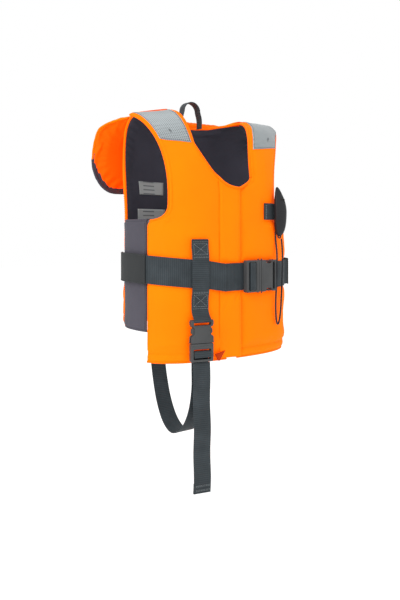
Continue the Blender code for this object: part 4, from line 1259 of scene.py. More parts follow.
def make_side_panels():
    """Grey cloth sides between the front and back covers."""
    for side, word in SIDES:
        us, vs = gathered(24, 0.4), gathered(40, 0.3)
        u, v = np.meshgrid(us, vs)
        z = mix(SIDE_HEM, ARMHOLE_BOTTOM + 0.001, v)
        start, end = angle_at(FRONT_SEAM_X, z), angle_at(BACK_SEAM_X, z, back=True)
        angle = side * mix(start, end, u)
        base = ring(angle, z, 0)
        outs = outward(angle, z / np.where(np.cos(angle) >= 0, FRONT_SPRING, BACK_SPRING))
        seams = from_sides(base)
        near = np.minimum(seams, from_ends(base))
        under, beside = belt_press(angle, z)
        full = np.clip(near / 0.02, 0, 1) ** 0.7
        puff = 0.0004 * full + 0.0008 * beside * full - 0.0006 * under
        puff = puff + 0.0005 * wave_noise(z, angle * 0.1, 40 + side, 0.05) * full * (1 - under)
        swell = left_swell(angle) * np.clip(seams / 0.010, 0, 1) ** 0.5
        puff = puff - edge_turn(near, *SIDE_EDGE) + swell
        points = base + outs * puff[..., None]
        pinned = (near < 0.003) | (under > 0.9)
        points = relax(points, outs, pinned, 0.001 * full * (1 - under) + LEAST_ROOM)
        panel = made_panel(us, vs, points, side < 0)
        show_panel(f"side_cover_{word}", panel, SIDE_CLOTH, "vest", side < 0,
                          nodes=(f"side_panel_{word}",))
        top = evenly(points[-1], 0.002)
        tube(f"side_top_binding_{word}", top, HEM_ROLL_RADIUS, SIDE_CLOTH, "vest")
        low = evenly(points[0], 0.002)
        tube(f"side_hem_binding_{word}", low, SIDE_HEM_RADIUS, SIDE_CLOTH, "vest")
        lines = [row_beside(panel, edge, SIDE_STITCH, 0.02, 0.98) for edge in ("left", "right")]
        stitches(f"side_stitching_{word}", lines, DARK_THREAD, "vest", slot="grey_lining")


def sewn_patch(name, panel, corners, count, thickness, out, finish, flip, nodes, inside=False):
    """A flat cloth sewn on a panel. corners are its (u, v) shares: two at the bottom, two at the top."""
    (a, b), (c, d) = corners
    s, t = grid(*count)
    u, v = [mix(mix(a[i], b[i], s), mix(c[i], d[i], s), t) for i in range(2)]
    points = on_panel(panel, u, v, out)
    made = cloth_sheet(name, points, thickness, finish, "vest", flip != inside)
    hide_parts(*nodes)
    return made_panel(np.linspace(0, 1, count[1]), np.linspace(0, 1, count[0]), points, flip)


def make_patches():
    """Silver reflective tape on the shoulders, with an edge row of stitches and a cross-stitched mark."""
    lines = []
    edges = ((0.03, 0.02, 0.97, 0.02), (0.97, 0.02, 0.97, 0.98), (0.03, 0.98, 0.03, 0.02))
    corners = (((0.065, 0.758), (0.925, 0.778)), ((0.075, 0.985), (0.920, 0.985)))
    for side, word, cover in ((-1, "right", RIGHT_COVER), (1, "left", LEFT_COVER)):
        patch = sewn_patch(f"reflective_patch_{word}_tape", cover, corners, (44, 26), 0.0004, 0.0006,
                           REFLECTIVE,
                           side < 0, (f"reflective_patch_{word}",))
        lines += [row_at(patch, *ends) for ends in edges]
        for du, dv in ((0.0, 0.055), (0.045, 0.0), (0.032, 0.04), (0.032, -0.04)):
            lines.append(row_at(patch, 0.5 - du, 0.20 - dv, 0.5 + du, 0.20 + dv, 12, 0.0003))
    stitches("patch_stitching", lines, DARK_THREAD, "vest", TAPE_STITCH, slot="reflective")


def make_labels():
    """Two cloth labels inside the back, with plain bars in place of print."""
    lines = []
    for name, (left, right), (low, high) in (("size_label", (0.62, 0.84), (0.535, 0.590)),
                                             ("care_label", (0.60, 0.88), (0.36, 0.475))):
        corners = (((left, low), (right, low)), ((left, high), (right, high)))
        patch = sewn_patch(f"{name}_cloth", BACK_LINING, corners, (14, 16), 0.0003, -0.0006, LABEL, False,
                           (name,), inside=True)
        for v in (0.05, 0.95):
            points, outs = row_at(patch, 0.04, v, 0.96, v, out=-0.0005)
            lines.append((points, -outs))
    stitches("label_stitching", lines, PALE_THREAD, "vest", LABEL_STITCH, slot="label_cloth")


def make_flap():
    """Cloth flap over the zip: sewn down on the wearer's right of it, free along its other edge."""
    us, vs = np.linspace(0, 1, 18), gathered(90, 0.2)
    u, v = np.meshgrid(us, vs)
    x = mix(FLAP_RIGHT, FLAP_LEFT, u)
    top = NECK_BOTTOM - 0.0006 + (NECK_FULL_Z - NECK_BOTTOM) * (np.abs(x) / NECK_HALF_WIDTH) ** (1 / 0.45)
    z = mix(0.0015, top, v)
    lift = np.clip((z - FRONT_SPRING) / (RIDGE_Z - FRONT_SPRING), 0, 1)
    rise = np.where(z > FRONT_SPRING, 1 + np.arcsin(lift ** (FRONT_ARCH / 2)) / (pi / 2), z / FRONT_SPRING)
    angle = angle_at(x, z)
    base, outs = skin(angle, rise), outward(angle, rise)
    under, beside = belt_press(angle, z)
    low = 1 - ease((z - 0.085) / 0.02)
    out = 0.0016 + 0.0012 * np.sin(pi * u) + 0.0012 * u * (1 - under) + 0.0016 * low * u * (1 - under)
    out = mix(0.0006 + 0.0014 * beside, out, ease(u / 0.95))
    out = mix(out, 0.0010, under)
    out = out + 0.0005 * wave_noise(z, x, 61, 0.05) * (1 - under)
    out = out - 0.0012 * ease((u - 0.93) / 0.07)
    points = base + outs * out[..., None]
    pinned = (u < 0.1) | (under > 0.9)
    points = relax(points, outs, pinned, 0.0009 * (1 - under) + LEAST_ROOM, pressure=1.0)
    panel = made_panel(us, vs, points, False)
    FLAP_PANEL.update(panel)
    show_panel("zip_flap", panel, ORANGE, "vest", False, ("storm_flap",))
    lines = [row_beside(panel, "right", FLAP_STITCH, 0.01, 0.99)]
    stitches("flap_stitching", lines, ORANGE_THREAD, "vest", slot="orange_cloth")


make_covers()
make_flap()
make_bindings()
make_topstitching()
make_side_panels()
make_patches()
make_labels()


# --- Webbing ----------------------------------------------------------------------------------------

def ring_points(start, end, steps, out):
    """Points along the belt's line, standing out from the vest."""
    angles = np.linspace(start, end, steps + 1)
    return [Vector(point) for point in ring(angles, belt_height(angles), out + left_swell(angles)[:, None])]


def make_belt():
    """The belt's three runs and the smooth sleeves that hold them at the sides."""
    place = belt_buckle_frame()
    up = Vector((0, 0, 1))
    out = BELT_OUT + WEBBING
    straight = [place @ Vector((x, 0, WEBBING)) for x in (-0.0640, -0.0600, -0.045, -0.030, -0.010)]
    front = ring_points(-BELT_SEAM_ANGLE, float(angle_at(-0.053, BELT_FRONT_Z)), 24, out) + straight
    tail = [place @ Vector((x, 0, WEBBING)) for x in (0.0235, 0.0315)]
    side = tail + ring_points(float(angle_at(0.090, BELT_FRONT_Z)), BELT_SEAM_ANGLE, 14, out)
    back = ring_points(radians(111.6), radians(360 - 111.6), 40, out)
    for name, route in (("belt_front", front), ("belt_side", side), ("belt_back", back)):
        webbing(f"{name}_webbing", route, [up] * len(route), BELT_WIDTH, WEBBING_CLOTH, "vest", replaces=name)
    lines = []
    for side, word in SIDES:
        start, end = sorted((side * float(angle_at(0.127, BELT_FRONT_Z)), side * radians(126)))
        route = ring_points(start, end, 18, out + 0.0018)
        _, fine, ups, outs = webbing(f"belt_sleeve_{word}_cloth", route, [up] * len(route),
                                     BELT_SLEEVE_WIDTH, SLEEVE_CLOTH, "vest", thickness=BELT_SLEEVE_THICKNESS,
                                     ribs=False,
                                     replaces=f"belt_sleeve_{word}")
        for across in (-0.0195, 0.0195):
            lines.append((fine + ups * across + outs * 0.0001, outs))
        for end_row in (2, -3):
            share = np.linspace(-0.019, 0.019, 40)[:, None]
            lines.append((fine[end_row] + ups[end_row] * share, np.repeat(outs[end_row][None], 40, 0)))
    stitches("belt_sleeve_stitching", lines, DARK_THREAD, "vest", slot="webbing")
    loop = [place @ Vector(point) for point in (
        (0.0215, 0, 0.0022), (0.0272, 0, 0.0024), (0.0292, 0, 0.0040), (0.0296, 0, 0.0085),
        (0.0308, 0, 0.0112), (0.0322, 0, 0.0085), (0.0326, 0, 0.0040), (0.0340, 0, 0.0024),
        (0.0400, 0, 0.0016))]
    across = across_of(place)
    webbing("belt_female_wrap", loop, [across] * len(loop), BELT_WIDTH - 0.001, WEBBING_CLOTH, "vest",
                       thickness=THIN_WEBBING, spacing=0.0004)


def box_of_stitches(fine, ups, outs, first, last, half):
    """A sewn box with a cross in it, between two stations of a strap."""
    a, b = fine[first], fine[last]
    up, out = ups[first], outs[(first + last) // 2]
    corners = [a + up * half, b + up * half, b - up * half, a - up * half]
    pairs = [(0, 1), (1, 2), (2, 3), (3, 0), (0, 2), (1, 3)]
    rows = []
    for i, j in pairs:
        share = np.linspace(0, 1, 40)[:, None]
        rows.append((mix(corners[i], corners[j], share) + out * 0.0003, np.repeat(out[None], 40, 0)))
    return rows


def crossing_row(fine, ups, outs, station, half):
    """A row of stitches straight across a strap."""
    share = np.linspace(-half, half, 40)[:, None]
    out = outs[station]
    return fine[station] + ups[station] * share + out * 0.0002, np.repeat(out[None], 40, 0)


def nearest(values, wanted):
    """Number of the value nearest to the wanted one."""
    return int(np.argmin(np.abs(values - wanted)))


def make_crotch_strap():
    """The front strap, sewn above and below the belt, and turned over the buckle's upper bar."""
    place = crotch_buckle_frame()
    across = across_of(place)
    heights = np.linspace(CROTCH_BUCKLE_Z + 0.046, CROTCH_TOP, 22)
    points = []
    for z in heights:
        near = 1 - float(ease((abs(z - CROSSING_Z) - 0.024) / 0.014))
        out = mix(CROTCH_OUT, CROTCH_OVER_BELT, near) + WEBBING
        points.append(Vector(ring(angle_at(CROTCH_X, z), z, out)))
    female = CROTCH_BUCKLE["female"]
    bar, top = female * 0.965, WEBBING + 0.0003 + CROTCH_BUCKLE["thick"]
    over = [place @ Vector(point) for point in (
        (bar - 0.0035, 0, 0.0035), (bar - 0.0030, 0, top - 0.0010), (bar - 0.0012, 0, top + 0.0013),
        (bar + 0.0016, 0, top + 0.0012), (bar + 0.0055, 0, top - 0.0030), (bar + 0.0095, 0, 0.0036))]
    route = over + points
    _, fine, ups, outs = webbing("crotch_front_webbing", route, [across] * len(route), CROTCH_WIDTH,
                                    WEBBING_CLOTH, "vest", spacing=0.0006, replaces="crotch_front_strap")
    height = fine[:, 2]
    rows = []
    for low, high in ((0.1515, 0.1665), (0.0785, 0.0950)):
        first, last = nearest(height, low), nearest(height, high)
        rows += box_of_stitches(fine, ups, outs, first, last, CROTCH_WIDTH / 2 - 0.0028)
    for z in (0.1695, 0.1485, 0.1470, 0.0985, 0.0970, 0.0755):
        rows.append(crossing_row(fine, ups, outs, nearest(height, z), CROTCH_WIDTH / 2 - 0.0016))
    stitches("crotch_strap_stitching", rows, PALE_THREAD, "vest", FRONT_STRAP_STITCH, slot="webbing")
    top_end = fine[-1] - outs[-1] * WEBBING / 2
    hem = np.linspace(-CROTCH_WIDTH / 2 + 0.0006, CROTCH_WIDTH / 2 - 0.0006, 14)[:, None] * ups[-1] + top_end
    tube("crotch_strap_fold", hem, STRAP_FOLD_RADIUS, WEBBING_CLOTH, "vest")


CROTCH_LOOP_ROUTE = (
    (-0.0665, -0.0745, 0.018), (-0.0665, -0.0740, -0.006), (-0.0668, -0.0725, -0.040),
    (-0.0672, -0.0640, -0.074), (-0.0660, -0.0440, -0.100), (-0.0620, -0.0140, -0.112),
    (-0.0570, 0.0160, -0.104), (-0.0530, 0.0400, -0.080), (-0.0505, 0.0560, -0.046),
    (-0.0490, 0.0660, -0.008), (-0.0480, 0.0730, 0.038),
)


def make_crotch_loop():
    """The strap from behind the male half, under, and up to the hem of the back, twisting a little."""
    place = crotch_buckle_frame()
    route = [Vector(point) for point in CROTCH_LOOP_ROUTE]
    top = place @ Vector((-0.0135, 0, WEBBING - 0.0001))
    shift = top - route[0]
    route[0] = top
    route[1] += Vector((shift.x, shift.y, 0))
    points = [Vector(point) for point in curve_through(route, 0.012)]
    front = across_of(place)
    ups = []
    for index in range(len(points)):
        share = index / (len(points) - 1)
        turned = front.lerp(Vector((-1, 0, 0)), share)
        turned.z += 0.10 * sin(pi * share) * sin(3 * pi * share)
        ups.append(turned.normalized())
    made, fine, ups, outs = webbing("crotch_loop_webbing", points, ups, CROTCH_WIDTH, WEBBING_CLOTH, None,
                                    flip=True, thickness=WEBBING * 0.9)
    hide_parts("crotch_strap_loop")
    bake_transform(made)
    rows = box_of_stitches(fine, ups, outs, len(fine) - 22, len(fine) - 4, CROTCH_WIDTH / 2 - 0.003)
    stitches("crotch_loop_stitching", rows, PALE_THREAD, "vest", STRAP_STITCH, slot="webbing")


def make_crotch_tail():
    """The strap's free end: hangs from the male half's lower bar, its end turned up and sewn twice."""
    place = crotch_buckle_frame()
    across = across_of(place)
    top = place @ Vector((-CROTCH_BUCKLE["male"] - 0.001, 0, 0.0064))
    points = []
    for step in range(17):
        share = step / 16
        sway = -0.004 * sin(share * pi / 2) - 0.0008 * sin(5 * pi * share)
        points.append(top + Vector((-0.002 * share, sway, -TAIL_LENGTH * share)))
    _, fine, ups, outs = webbing("crotch_tail_webbing", points, [across] * len(points), CROTCH_WIDTH,
                                    WEBBING_CLOTH, "crotch_tail", flip=True, replaces="crotch_strap_tail")
    height = fine[:, 2] - fine[-1, 2]
    end = [Vector(p) for p in fine[height < 0.0145][::4] - outs[height < 0.0145][::4] * WEBBING]
    webbing("crotch_tail_turned_end", end, [across] * len(end), CROTCH_WIDTH - 0.0004, WEBBING_CLOTH,
                         "crotch_tail", flip=True, thickness=WEBBING * 0.9)
    rows = []
    for z in (0.0035, 0.0048, 0.0100, 0.0113):
        rows.append(crossing_row(fine, ups, outs, nearest(height, z), CROTCH_WIDTH / 2 - 0.0014))
    stitches("crotch_tail_stitching", rows, PALE_THREAD, "crotch_tail", TAIL_STITCH, slot="webbing")


def make_bar_wrap(name, size, place, body, node_name):
    """The webbing turned over the male half's middle bar, in at one slot and out at the other."""
    base = WEBBING + 0.0003
    top = base + size["thick"]
    slots = [-size["male"] * share for share in (0.78, 0.40)]
    low, high = slots[0] + 0.0002, slots[1] - 0.0002
    path = [(low, base + 0.001), (low, top + 0.0004), (slots[0] + 0.0018, top + 0.0018),
            ((slots[0] + slots[1]) / 2, top + 0.0022), (slots[1] - 0.0018, top + 0.0018),
            (high, top + 0.0004), (high, base + 0.001)]
    points = [place @ Vector((x, 0, z)) for x, z in path]
    across = across_of(place)
    webbing(name, points, [across] * len(points), 2 * size["web"] - 0.001, WEBBING_CLOTH, body,
                       thickness=THIN_WEBBING, spacing=0.0004, replaces=node_name)


def make_carry_loop():
    """The loop at the nape: narrow webbing, its ends sewn to the back's top edge."""
    bend = 0.0145
    points = [Vector((-LOOP_HALF_SPAN, LOOP_Y, LOOP_FOOT + rise)) for rise in (-0.004, 0.010)]
    for step in range(11):
        turn = pi * (1 - step / 10)
        points.append(Vector((bend * cos(turn), LOOP_Y, LOOP_TOP - bend + bend * sin(turn))))
    points += [Vector((-point.x, point.y, point.z)) for point in reversed(points[:2])]
    points = [point + Vector((LOOP_X, 0, 0)) for point in points]
    webbing("carry_loop_webbing", points, [Vector((0, 1, 0))] * len(points), LOOP_WEB,
                                    WEBBING_CLOTH, "vest", flip=True, spacing=0.0005, replaces="carry_loop")


# --- Moulded pieces ---------------------------------------------------------------------------------

def rounded_loop(points, spacing=0.0008):
    """A smooth closed outline through points."""
    loop = [Vector((x, y, 0)) for x, y in points]
    wrapped = loop[-2:] + loop + loop[:3]
    fine = curve_through(wrapped, spacing)
    start = int(np.argmin(np.linalg.norm(fine - np.array(loop[0]), axis=1)))
    rest = fine[start + 4:]
    end = start + 4 + int(np.argmin(np.linalg.norm(rest - np.array(loop[0]), axis=1)))
    return [(p[0], p[1]) for p in fine[start:end]]


def box_loop(x0, x1, half, corner=0.0015, steps=5, shift=0.0):
    """A rectangle with round corners."""
    centres = ((x1 - corner, half - corner, 0), (x0 + corner, half - corner, 90),
               (x0 + corner, -half + corner, 180), (x1 - corner, -half + corner, 270))
    loop = []
    for x, y, turn in centres:
        for step in range(steps + 1):
            angle = radians(turn + 90 * step / steps)
            loop.append((x + corner * cos(angle), y + shift + corner * sin(angle)))
    return loop


def moulding(name, layers, place, finish, body, nodes=()):
    """A moulded piece built up of flat layers with rounded edges: (outlines, low, high, edge radius)."""
    joined = bmesh.new()
    for loops, low, high, edge in layers:
        curve = bpy.data.curves.new("layer", "CURVE")
        curve.dimensions = "2D"
        curve.fill_mode = "BOTH"
        curve.extrude = (high - low) / 2 - edge
        curve.bevel_depth = edge
        curve.bevel_resolution = 2
        curve.offset = -edge
        for loop in loops:
            spline = curve.splines.new("POLY")
            spline.points.add(len(loop) - 1)
            for point, (x, y) in zip(spline.points, loop):
                point.co = (x, y, 0, 1)
            spline.use_cyclic_u = True
        source = bpy.data.objects.new("layer", curve)
        bpy.context.scene.collection.objects.link(source)
        bpy.context.view_layer.update()
        mesh = bpy.data.meshes.new_from_object(source.evaluated_get(bpy.context.evaluated_depsgraph_get()))
        bpy.data.objects.remove(source, do_unlink=True)
        mesh.transform(Matrix.Translation((0, 0, (low + high) / 2)))
        joined.from_mesh(mesh)
    bmesh.ops.remove_doubles(joined, verts=joined.verts, dist=1e-6)
    bmesh.ops.transform(joined, matrix=Matrix.Translation(-HOOK) @ place, verts=joined.verts)
    mesh = bpy.data.meshes.new(name)
    joined.to_mesh(mesh)
    joined.free()
    mesh.materials.clear()
    mesh.materials.append(finish)
    mesh.shade_smooth()
    mesh.set_sharp_from_angle(angle=radians(40))
    made = bpy.data.objects.new(name, mesh)
    bpy.context.scene.collection.objects.link(made)
    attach(made, body)
    if nodes:
        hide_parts(*nodes)
    return made


def make_buckle(name, size, place, arms):
    """A side-release buckle. arms lists (word, side, body)."""
    base = WEBBING + 0.0003
    top = base + size["thick"]
    half, web, male, female = size["half"], size["web"], size["male"], size["female"]
    low_in, high_in = base + 0.0018, top - 0.0018
    waist = half - 0.0050
    side = [(0.0004, half - 0.0012), (0.0016, half), (female * 0.16, half), (female * 0.29, half - 0.0004),
            (female * 0.38, waist + 0.0006), (female * 0.46, waist), (female * 0.60, waist),
            (female * 0.68, waist + 0.0008), (female * 0.78, half - 0.0004), (female * 0.86, half),
            (female - 0.0024, half), (female - 0.0006, half - 0.0010), (female, half - 0.003)]
    outline = rounded_loop([(x, -y) for x, y in side[::-1]][::-1] + side[::-1])
    slot_hole = box_loop(female * 0.765, female * 0.915, web, 0.0012)
    block = box_loop(female * 0.705, female - 0.0004, half - 0.0006, 0.0016)
    pad = box_loop(female * 0.10, female * 0.70, half * 0.62, 0.003)
    layers = [([outline, slot_hole], high_in, top, 0.0007), ([outline, slot_hole], base, low_in, 0.0007),
              ([block, slot_hole], low_in - 0.0004, high_in + 0.0004, 0.0002),
              ([pad], top - 0.0004, top + 0.00035, 0.0003)]
    moulding(f"{name}_female_shell", layers, place, BUCKLE, "vest", (f"{name}_female",))

    frame_loop = box_loop(-male, 0.0, half, 0.0024)
    holes = [box_loop(-male * share - 0.0020, -male * share + 0.0020, web, 0.0012) for share in (0.78, 0.40)]
    tongue = box_loop(-0.002, female * 0.62, half * 0.2, 0.0015)
    lip = box_loop(-male * 0.13, -0.0006, half - 0.0012, 0.0012)
    inner = (low_in + 0.0003, high_in - 0.0003, 0.0006)
    layers = [([frame_loop, *holes], base, top - 0.0003, 0.0010), ([tongue], *inner),
              ([lip], top - 0.0008, top + 0.0002, 0.0004)]
    moulding(f"{name}_male_ladder", layers, place, BUCKLE, f"{name}_male", (f"{name}_male",))
    for word, sign, body in arms:
        tip, head = female * 0.69, half - 0.0015
        path = [(0.0002, half * 0.60), (female * 0.22, half * 0.60), (female * 0.40, half * 0.60),
                (tip, half * 0.57), (tip + 0.0004, half * 0.70), (tip - 0.0010, half * 0.82),
                (female * 0.60, head), (female * 0.52, head + 0.0003), (female * 0.44, head),
                (female * 0.37, half * 0.82), (female * 0.20, half * 0.79), (0.0002, half * 0.79)]
        loop = rounded_loop([(x, sign * y) for x, y in path], 0.0006)
        ridges = []
        for share in (0.46, 0.50, 0.54, 0.58):
            ridge = box_loop(female * share - 0.00045, female * share + 0.00045, 0.0012, 0.0004,
                             shift=sign * (head - 0.0004))
            ridges.append(([ridge], low_in + 0.0006, high_in - 0.0006, 0.0003))
        moulding(f"{name}_arm_{word}_spring", [([loop], *inner)] + ridges, place, BUCKLE, body,
                 (f"{name}_arm_{word}",))


def make_buckles():
    """Both buckles and the webbing round their middle bars."""
    make_buckle("belt_buckle", BELT_BUCKLE, belt_buckle_frame(),
                (("upper", 1, "belt_arm_upper"), ("lower", -1, "belt_arm_lower")))
    make_buckle("crotch_buckle", CROTCH_BUCKLE, crotch_buckle_frame(),
                (("right", 1, "crotch_arm_right"), ("left", -1, "crotch_arm_left")))
    make_bar_wrap("belt_bar_webbing", BELT_BUCKLE, belt_buckle_frame(), "belt_buckle_male", "belt_bar_wrap")
    make_bar_wrap("crotch_bar_webbing", CROTCH_BUCKLE, crotch_buckle_frame(), "crotch_buckle_male",
                  "crotch_bar_wrap")


# --- Collar -----------------------------------------------------------------------------------------

COLLAR_PROFILE = (
    (0.057, 0.3565), (0.071, 0.3560), (0.093, 0.3450), (0.110, 0.3230), (0.117, 0.2970), (0.114, 0.2710),
    (0.107, 0.2450),
)


def collar_half_thickness(s, t):
    """Half the collar's thickness: s across, -1 to 1, and t down, 0 to 1."""
    spread = np.clip(1 - np.abs(s) ** 3.0, 0, 1) ** 0.5
    full = np.sin(pi * np.clip(t * 0.92 + 0.04, 0, 1)) ** 0.8
    return COLLAR_HALF_THICKNESS * full * mix(0.25, 1, spread)


def collar_face(s, t, face, edge):
    """Points of one face of the collar, and their outward directions; edge is its thickness at the seams."""
    line = curve_through([Vector((0, y, z)) for y, z in COLLAR_PROFILE], 0.0008)
    place = np.clip(t, 0, 1) * (len(line) - 1)
    point = np.stack([np.interp(place, np.arange(len(line)), line[:, i]) for i in range(3)], -1)
    along = tangents(line)
    way = unit(np.stack([np.interp(place, np.arange(len(line)), along[:, i]) for i in range(3)], -1))
    out = np.stack([0 * t, -way[..., 2], way[..., 1]], -1) * face
    round_end = 1 - np.sqrt(1 - np.clip((t - 0.66) / 0.34, 0, 1) ** 2)
    wide = COLLAR_HALF_WIDTH * 1.03 * (1 - 0.24 * (1 - ease(t / 0.34)) - 0.24 * round_end)
    point = point + np.stack([s * wide, 0 * t, 0 * t], -1)
    thick = np.maximum(collar_half_thickness(s, t) * 0.93, edge)
    rim = np.minimum(1 - np.abs(s), np.minimum(t, 1 - t) * 1.4)
    thick = edge + (thick - edge) * np.sqrt(1 - (1 - np.clip(rim / 0.16, 0, 1)) ** 2)
    return point + out * thick[..., None], out


def dark_hem(made, rows, columns, rim, v):
    """A grey band on the collar's lower edge, wider towards the bottom."""
    made.data.materials.append(LINING)
    band = rim < 0.0070 * ease((v - 0.56) / 0.25)
    for face in made.data.polygons:
        corner = min(face.vertices) % (rows * columns)
        face.material_index = int(band.ravel()[corner])


def make_collar():
    """Padded collar: an orange cushion gathered along its seams, with a dark band along its lower edge. Both
    faces use the darker, redder copy of the orange cloth, which is painted shade.
    """
    rows, columns = 64, 84
    us, vs = gathered(columns, 0.45), gathered(rows, 0.40)
    u, v = np.meshgrid(us, vs)
    faces = {}
    for name, face, finish, node_name in (("collar_cushion", 1, ORANGE_COLLAR_PAINTED_SHADE, "collar_cover"),
                                          ("collar_under", -1, ORANGE_COLLAR_PAINTED_SHADE, "collar_underside")):
        s = 2 * u - 1
        points, outs = collar_face(s, v, face, 0.0009)
        rim = np.minimum(from_sides(points), from_ends(points))
        turn = np.arctan2((v - 0.5) * 0.16, s * 0.12)
        pucker = np.sin(turn * 58 + 3 * wave_noise(s * 0.12, v * 0.16, 71, 0.05))
        points = points + outs * (0.0010 * pucker * hump(rim, 0.012, 0.010))[..., None]
        points = points + outs * (0.0012 * wave_noise(s * 0.12, v * 0.16, 73 + face, 0.07)
                                  * np.clip(rim / 0.02, 0, 1))[..., None]
        normals = grid_normals(points) * face
        points = relax(points, normals, rim < 0.0015, 0.0035 * np.clip(rim / 0.02, 0, 1), pressure=4.0,
                       swell=0.03, inward=0.003)
        panel = made_panel(us, vs, points, face < 0)
        nodes = (node_name, "collar_foam") if face > 0 else (node_name,)
        made = show_panel(name, panel, finish, "collar", face < 0, nodes=nodes)
        if face < 0:
            dark_hem(made, rows, columns, rim, v)
        faces[face] = panel
    trim_collar(faces[1])
    lines = [row_beside(faces[1], edge, COLLAR_STITCH, 0.03, 0.97) for edge in ("left", "right", "bottom")]
    stitches("collar_stitching", lines, ORANGE_THREAD, "collar", slot="orange_cloth")


def trim_collar(panel):
    """Grey trim round the collar's lower edge, and orange piping up its sides."""
    cover = panel["points"]
    start = int(len(cover) * 0.60)
    trim = np.vstack([cover[:, 0][start:], cover[-1][1:-1], cover[:, -1][::-1][:len(cover) - start]])
    tube("collar_trim", evenly(trim, 0.002) - np.array([0, 0.0008, 0]), COLLAR_TRIM_RADIUS, LINING, "collar",
         profile=roll)
    for column, word in ((0, "right"), (-1, "left")):
        upper = evenly(cover[:, column][4:start + 1], 0.002) - np.array([0, 0.0006, 0])
        tube(f"collar_piping_{word}", upper, COLLAR_PIPING_RADIUS, ORANGE_BINDING, "collar", profile=roll)


def make_collar_base():
    """The strip of cloth that joins the collar's hinge line to the back, below the nape."""
    across, up = np.meshgrid(np.linspace(-0.098, 0.098, 60), np.linspace(0, 1, 6))
    rise = np.full_like(across, 1.60)
    angle = angle_at(across, level(np.full_like(across, pi), rise)[0], back=True)
    foot = skin(angle, rise) + outward(angle, rise) * 0.0004
    y, z = COLLAR_PROFILE[0]
    hinge = np.stack([across, 0 * across + y, 0 * across + z + 0.0006], -1)
    made = cloth_sheet("collar_base", mix(foot, hinge, up[..., None]), 0.0008, ORANGE, "vest")


# --- Whistle ----------------------------------------------------------------------------------------

def make_whistle_tab():
    """The webbing tab that the whistle and its cord are fixed to."""
    points = []
    for x in np.linspace(*TAB_X, 7):
        points.append(Vector(ring(angle_at(x, WHISTLE_Z), WHISTLE_Z, TAB_OUT)))
    height = TAB_Z[1] - TAB_Z[0]
    _, fine, ups, outs = webbing("whistle_tab_webbing", points, [Vector((0, 0, 1))] * len(points), height,
                                 WEBBING_CLOTH, "vest", thickness=TAB_THICKNESS, replaces="whistle_tab")
    rows = [crossing_row(fine, ups, outs, station, height / 2 - 0.002) for station in (3, 5)]
    stitches("whistle_tab_stitching", rows, PALE_THREAD, "vest", STRAP_STITCH, slot="webbing")


def whistle_shape(lengthwise, round_it):
    """The flat whistle's surface in its own frame: along, across and out."""
    long, turn = np.meshgrid(lengthwise, round_it, indexing="ij")
    swell = np.clip(1 - np.abs(long) ** np.where(long < 0, 4.5, 2.6), 0, 1) ** 0.5
    mouth = ease((long - 0.45) / 0.3)
    across = signed_power(np.cos(turn), 0.75) * WHISTLE_SIZE[0] / 2 * swell * (1 - 0.22 * long * long)
    across = across * (1 - 0.20 * ease(long)) + 0.0050 * np.clip(long, 0, 1) ** 1.5
    thick = signed_power(np.sin(turn), 0.75) * WHISTLE_SIZE[1] / 2 * swell * (1 - 0.28 * mouth)
    rim = hump(np.abs(np.cos(turn)), 1.0, 0.10)
    across = across + np.sign(np.cos(turn)) * 0.0005 * rim * swell
    inset = hump(np.abs(np.cos(turn)), 0.72, 0.10) * swell
    thick = thick - np.sign(np.sin(turn)) * 0.0006 * inset
    grips = (np.abs(long + 0.25) < 0.30) * (0.5 + 0.5 * np.sin(long * 2 * pi / 0.085))
    thick = thick - np.sign(np.sin(turn)) * 0.0005 * grips * (np.abs(np.sin(turn)) > 0.7)
    return np.stack([long * WHISTLE_SIZE[2] / 2, across, thick - 0.0025 * long * long], -1)


def make_whistle():
    """Flat whistle with a raised rim, a grooved grip and a sound slot. The slot is a near-black piece of
    painted shade in place of an opening.
    """
    angle = float(angle_at(WHISTLE_X, WHISTLE_Z))
    out = Vector((WHISTLE_TURN, -1, 0)).normalized()
    place = local_frame(Vector((0, 0, 1)), out, Vector(ring(angle, WHISTLE_Z, WHISTLE_OUT)))
    rows, sides = 90, 56
    local = whistle_shape(np.linspace(-1, 1, rows), np.linspace(0, 2 * pi, sides, endpoint=False))
    matrix = np.array(place)
    vertices = local.reshape(-1, 3) @ matrix[:3, :3].T + matrix[:3, 3]
    made = new_piece("whistle_body", vertices, grid_faces(rows, sides, close=True), WHISTLE_PLASTIC,
                     "whistle")
    facing_out(made, merge=1e-5)
    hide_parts("whistle")
    # The sound slot is a thin near-black piece on the closed body: painted shade in place of an opening.
    slot_loop = box_loop(0.0150, 0.0195, 0.0042, 0.0010)
    moulding("whistle_sound_slot", [([slot_loop], 0.0026, 0.00515, 0.0002)], place, WHISTLE_SLOT_PAINTED_SHADE, "whistle")
    x, radius, z = WHISTLE_EYE
    turns = np.linspace(0, 2 * pi, 25)
    hoop = np.array([list(place @ Vector((x + radius * cos(a), radius * sin(a), z))) for a in turns])
    tube("whistle_eye", hoop, 0.0011, WHISTLE_PLASTIC, "whistle", sides=10)


# --- Zip --------------------------------------------------------------------------------------------

def make_zip_tape(side, word, front):
    """One half of the zip's tape."""
    z = np.linspace(0.0, ZIP_TOP, 60)
    x = ZIP_X + side * np.array([0.0032, 0.0052, 0.0074])
    points = np.stack(np.broadcast_arrays(x[None, :], front + 0.0062 + 0 * z[:, None], z[:, None]), -1)
    made = cloth_sheet(f"zip_tape_{word}_cloth", points, 0.0005, ZIP_TAPE, "vest", flip=side < 0)
    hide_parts(f"zip_tape_{word}")


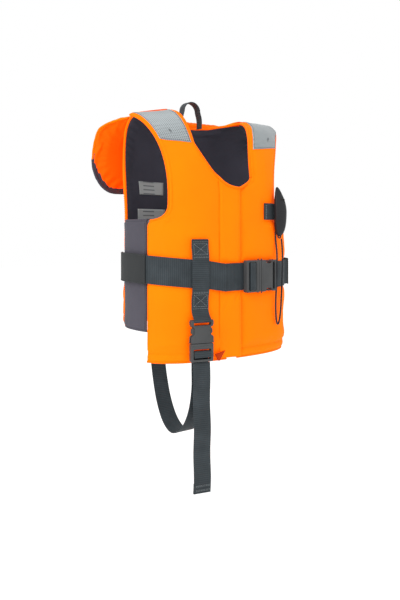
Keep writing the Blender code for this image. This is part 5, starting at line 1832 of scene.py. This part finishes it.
def make_zip_teeth(side, word, front):
    """One row of moulded teeth; the wearer's left row stands half a tooth higher."""
    build = bmesh.new()
    for step in range(106):
        z = 0.0035 + step * TOOTH_PITCH + (TOOTH_PITCH / 2 if side > 0 else 0)
        if z > ZIP_TOP - 0.001:
            continue
        spot = Vector((ZIP_X + side * 0.00165, front + 0.0064, z)) - HOOK
        bmesh.ops.create_cube(build, size=1, matrix=Matrix.Translation(spot) @ Matrix.Diagonal((*TOOTH, 1)))
    bmesh.ops.bevel(build, geom=list(build.edges), offset=0.00025, segments=1, affect="EDGES")
    mesh = bpy.data.meshes.new(f"zip_teeth_{word}_row")
    build.to_mesh(mesh)
    build.free()
    mesh.materials.append(ZIP_TEETH)
    made = bpy.data.objects.new(f"zip_teeth_{word}_row", mesh)
    bpy.context.scene.collection.objects.link(made)
    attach(made, "vest")
    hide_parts(f"zip_teeth_{word}")


def dress_zip_metal():
    """The CAD's own slider and pull, in metal, with their edges softened."""
    for node_name in ("zip_slider", "zip_pull"):
        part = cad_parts[node_name]
        part.data.materials.clear()
        part.data.materials.append(ZIP_METAL)
        soft = part.modifiers.new("edges", "BEVEL")
        soft.width = 0.0003
        soft.segments = 2
        soft.limit_method = "ANGLE"


def make_zip_end(front):
    """The folded end of the tape, which hangs out at the hem."""
    corners = np.array([(-0.0435, front - 0.0022, 0.0092), (-0.0255, front - 0.0022, 0.0128),
                        (-0.0395, front - 0.0026, -0.0004), (-0.0355, front - 0.0026, -0.0010)])
    s, t = grid(10, 10)
    low = mix(corners[2], corners[3], s[..., None])
    points = mix(low, mix(corners[0], corners[1], s[..., None]), t[..., None])
    points[..., 1] -= 0.0012 * np.sin(pi * s) * np.sin(pi * t)
    made = cloth_sheet("zip_tape_end", points, 0.0009, ZIP_TAPE, "vest")


def make_zip():
    """Tapes, moulded teeth on each, slider and pull, and the folded end of the tape at the hem."""
    front = float(skin(np.array(0.0), np.array(0.5))[1])
    for side, word in SIDES:
        make_zip_tape(side, word, front)
        make_zip_teeth(side, word, front)
    dress_zip_metal()
    make_zip_end(front)


# Near-black plastic for the whistle's sound slot: painted shade for the dark inside of the opening.
WHISTLE_SLOT_PAINTED_SHADE = plastic_material("whistle_slot_painted_shade", (0.008, 0.008, 0.009), 0.7)

make_belt()
make_crotch_strap()
make_crotch_loop()
make_crotch_tail()
make_carry_loop()
make_buckles()
make_collar()
make_collar_base()
make_whistle_tab()
make_whistle()
make_zip()
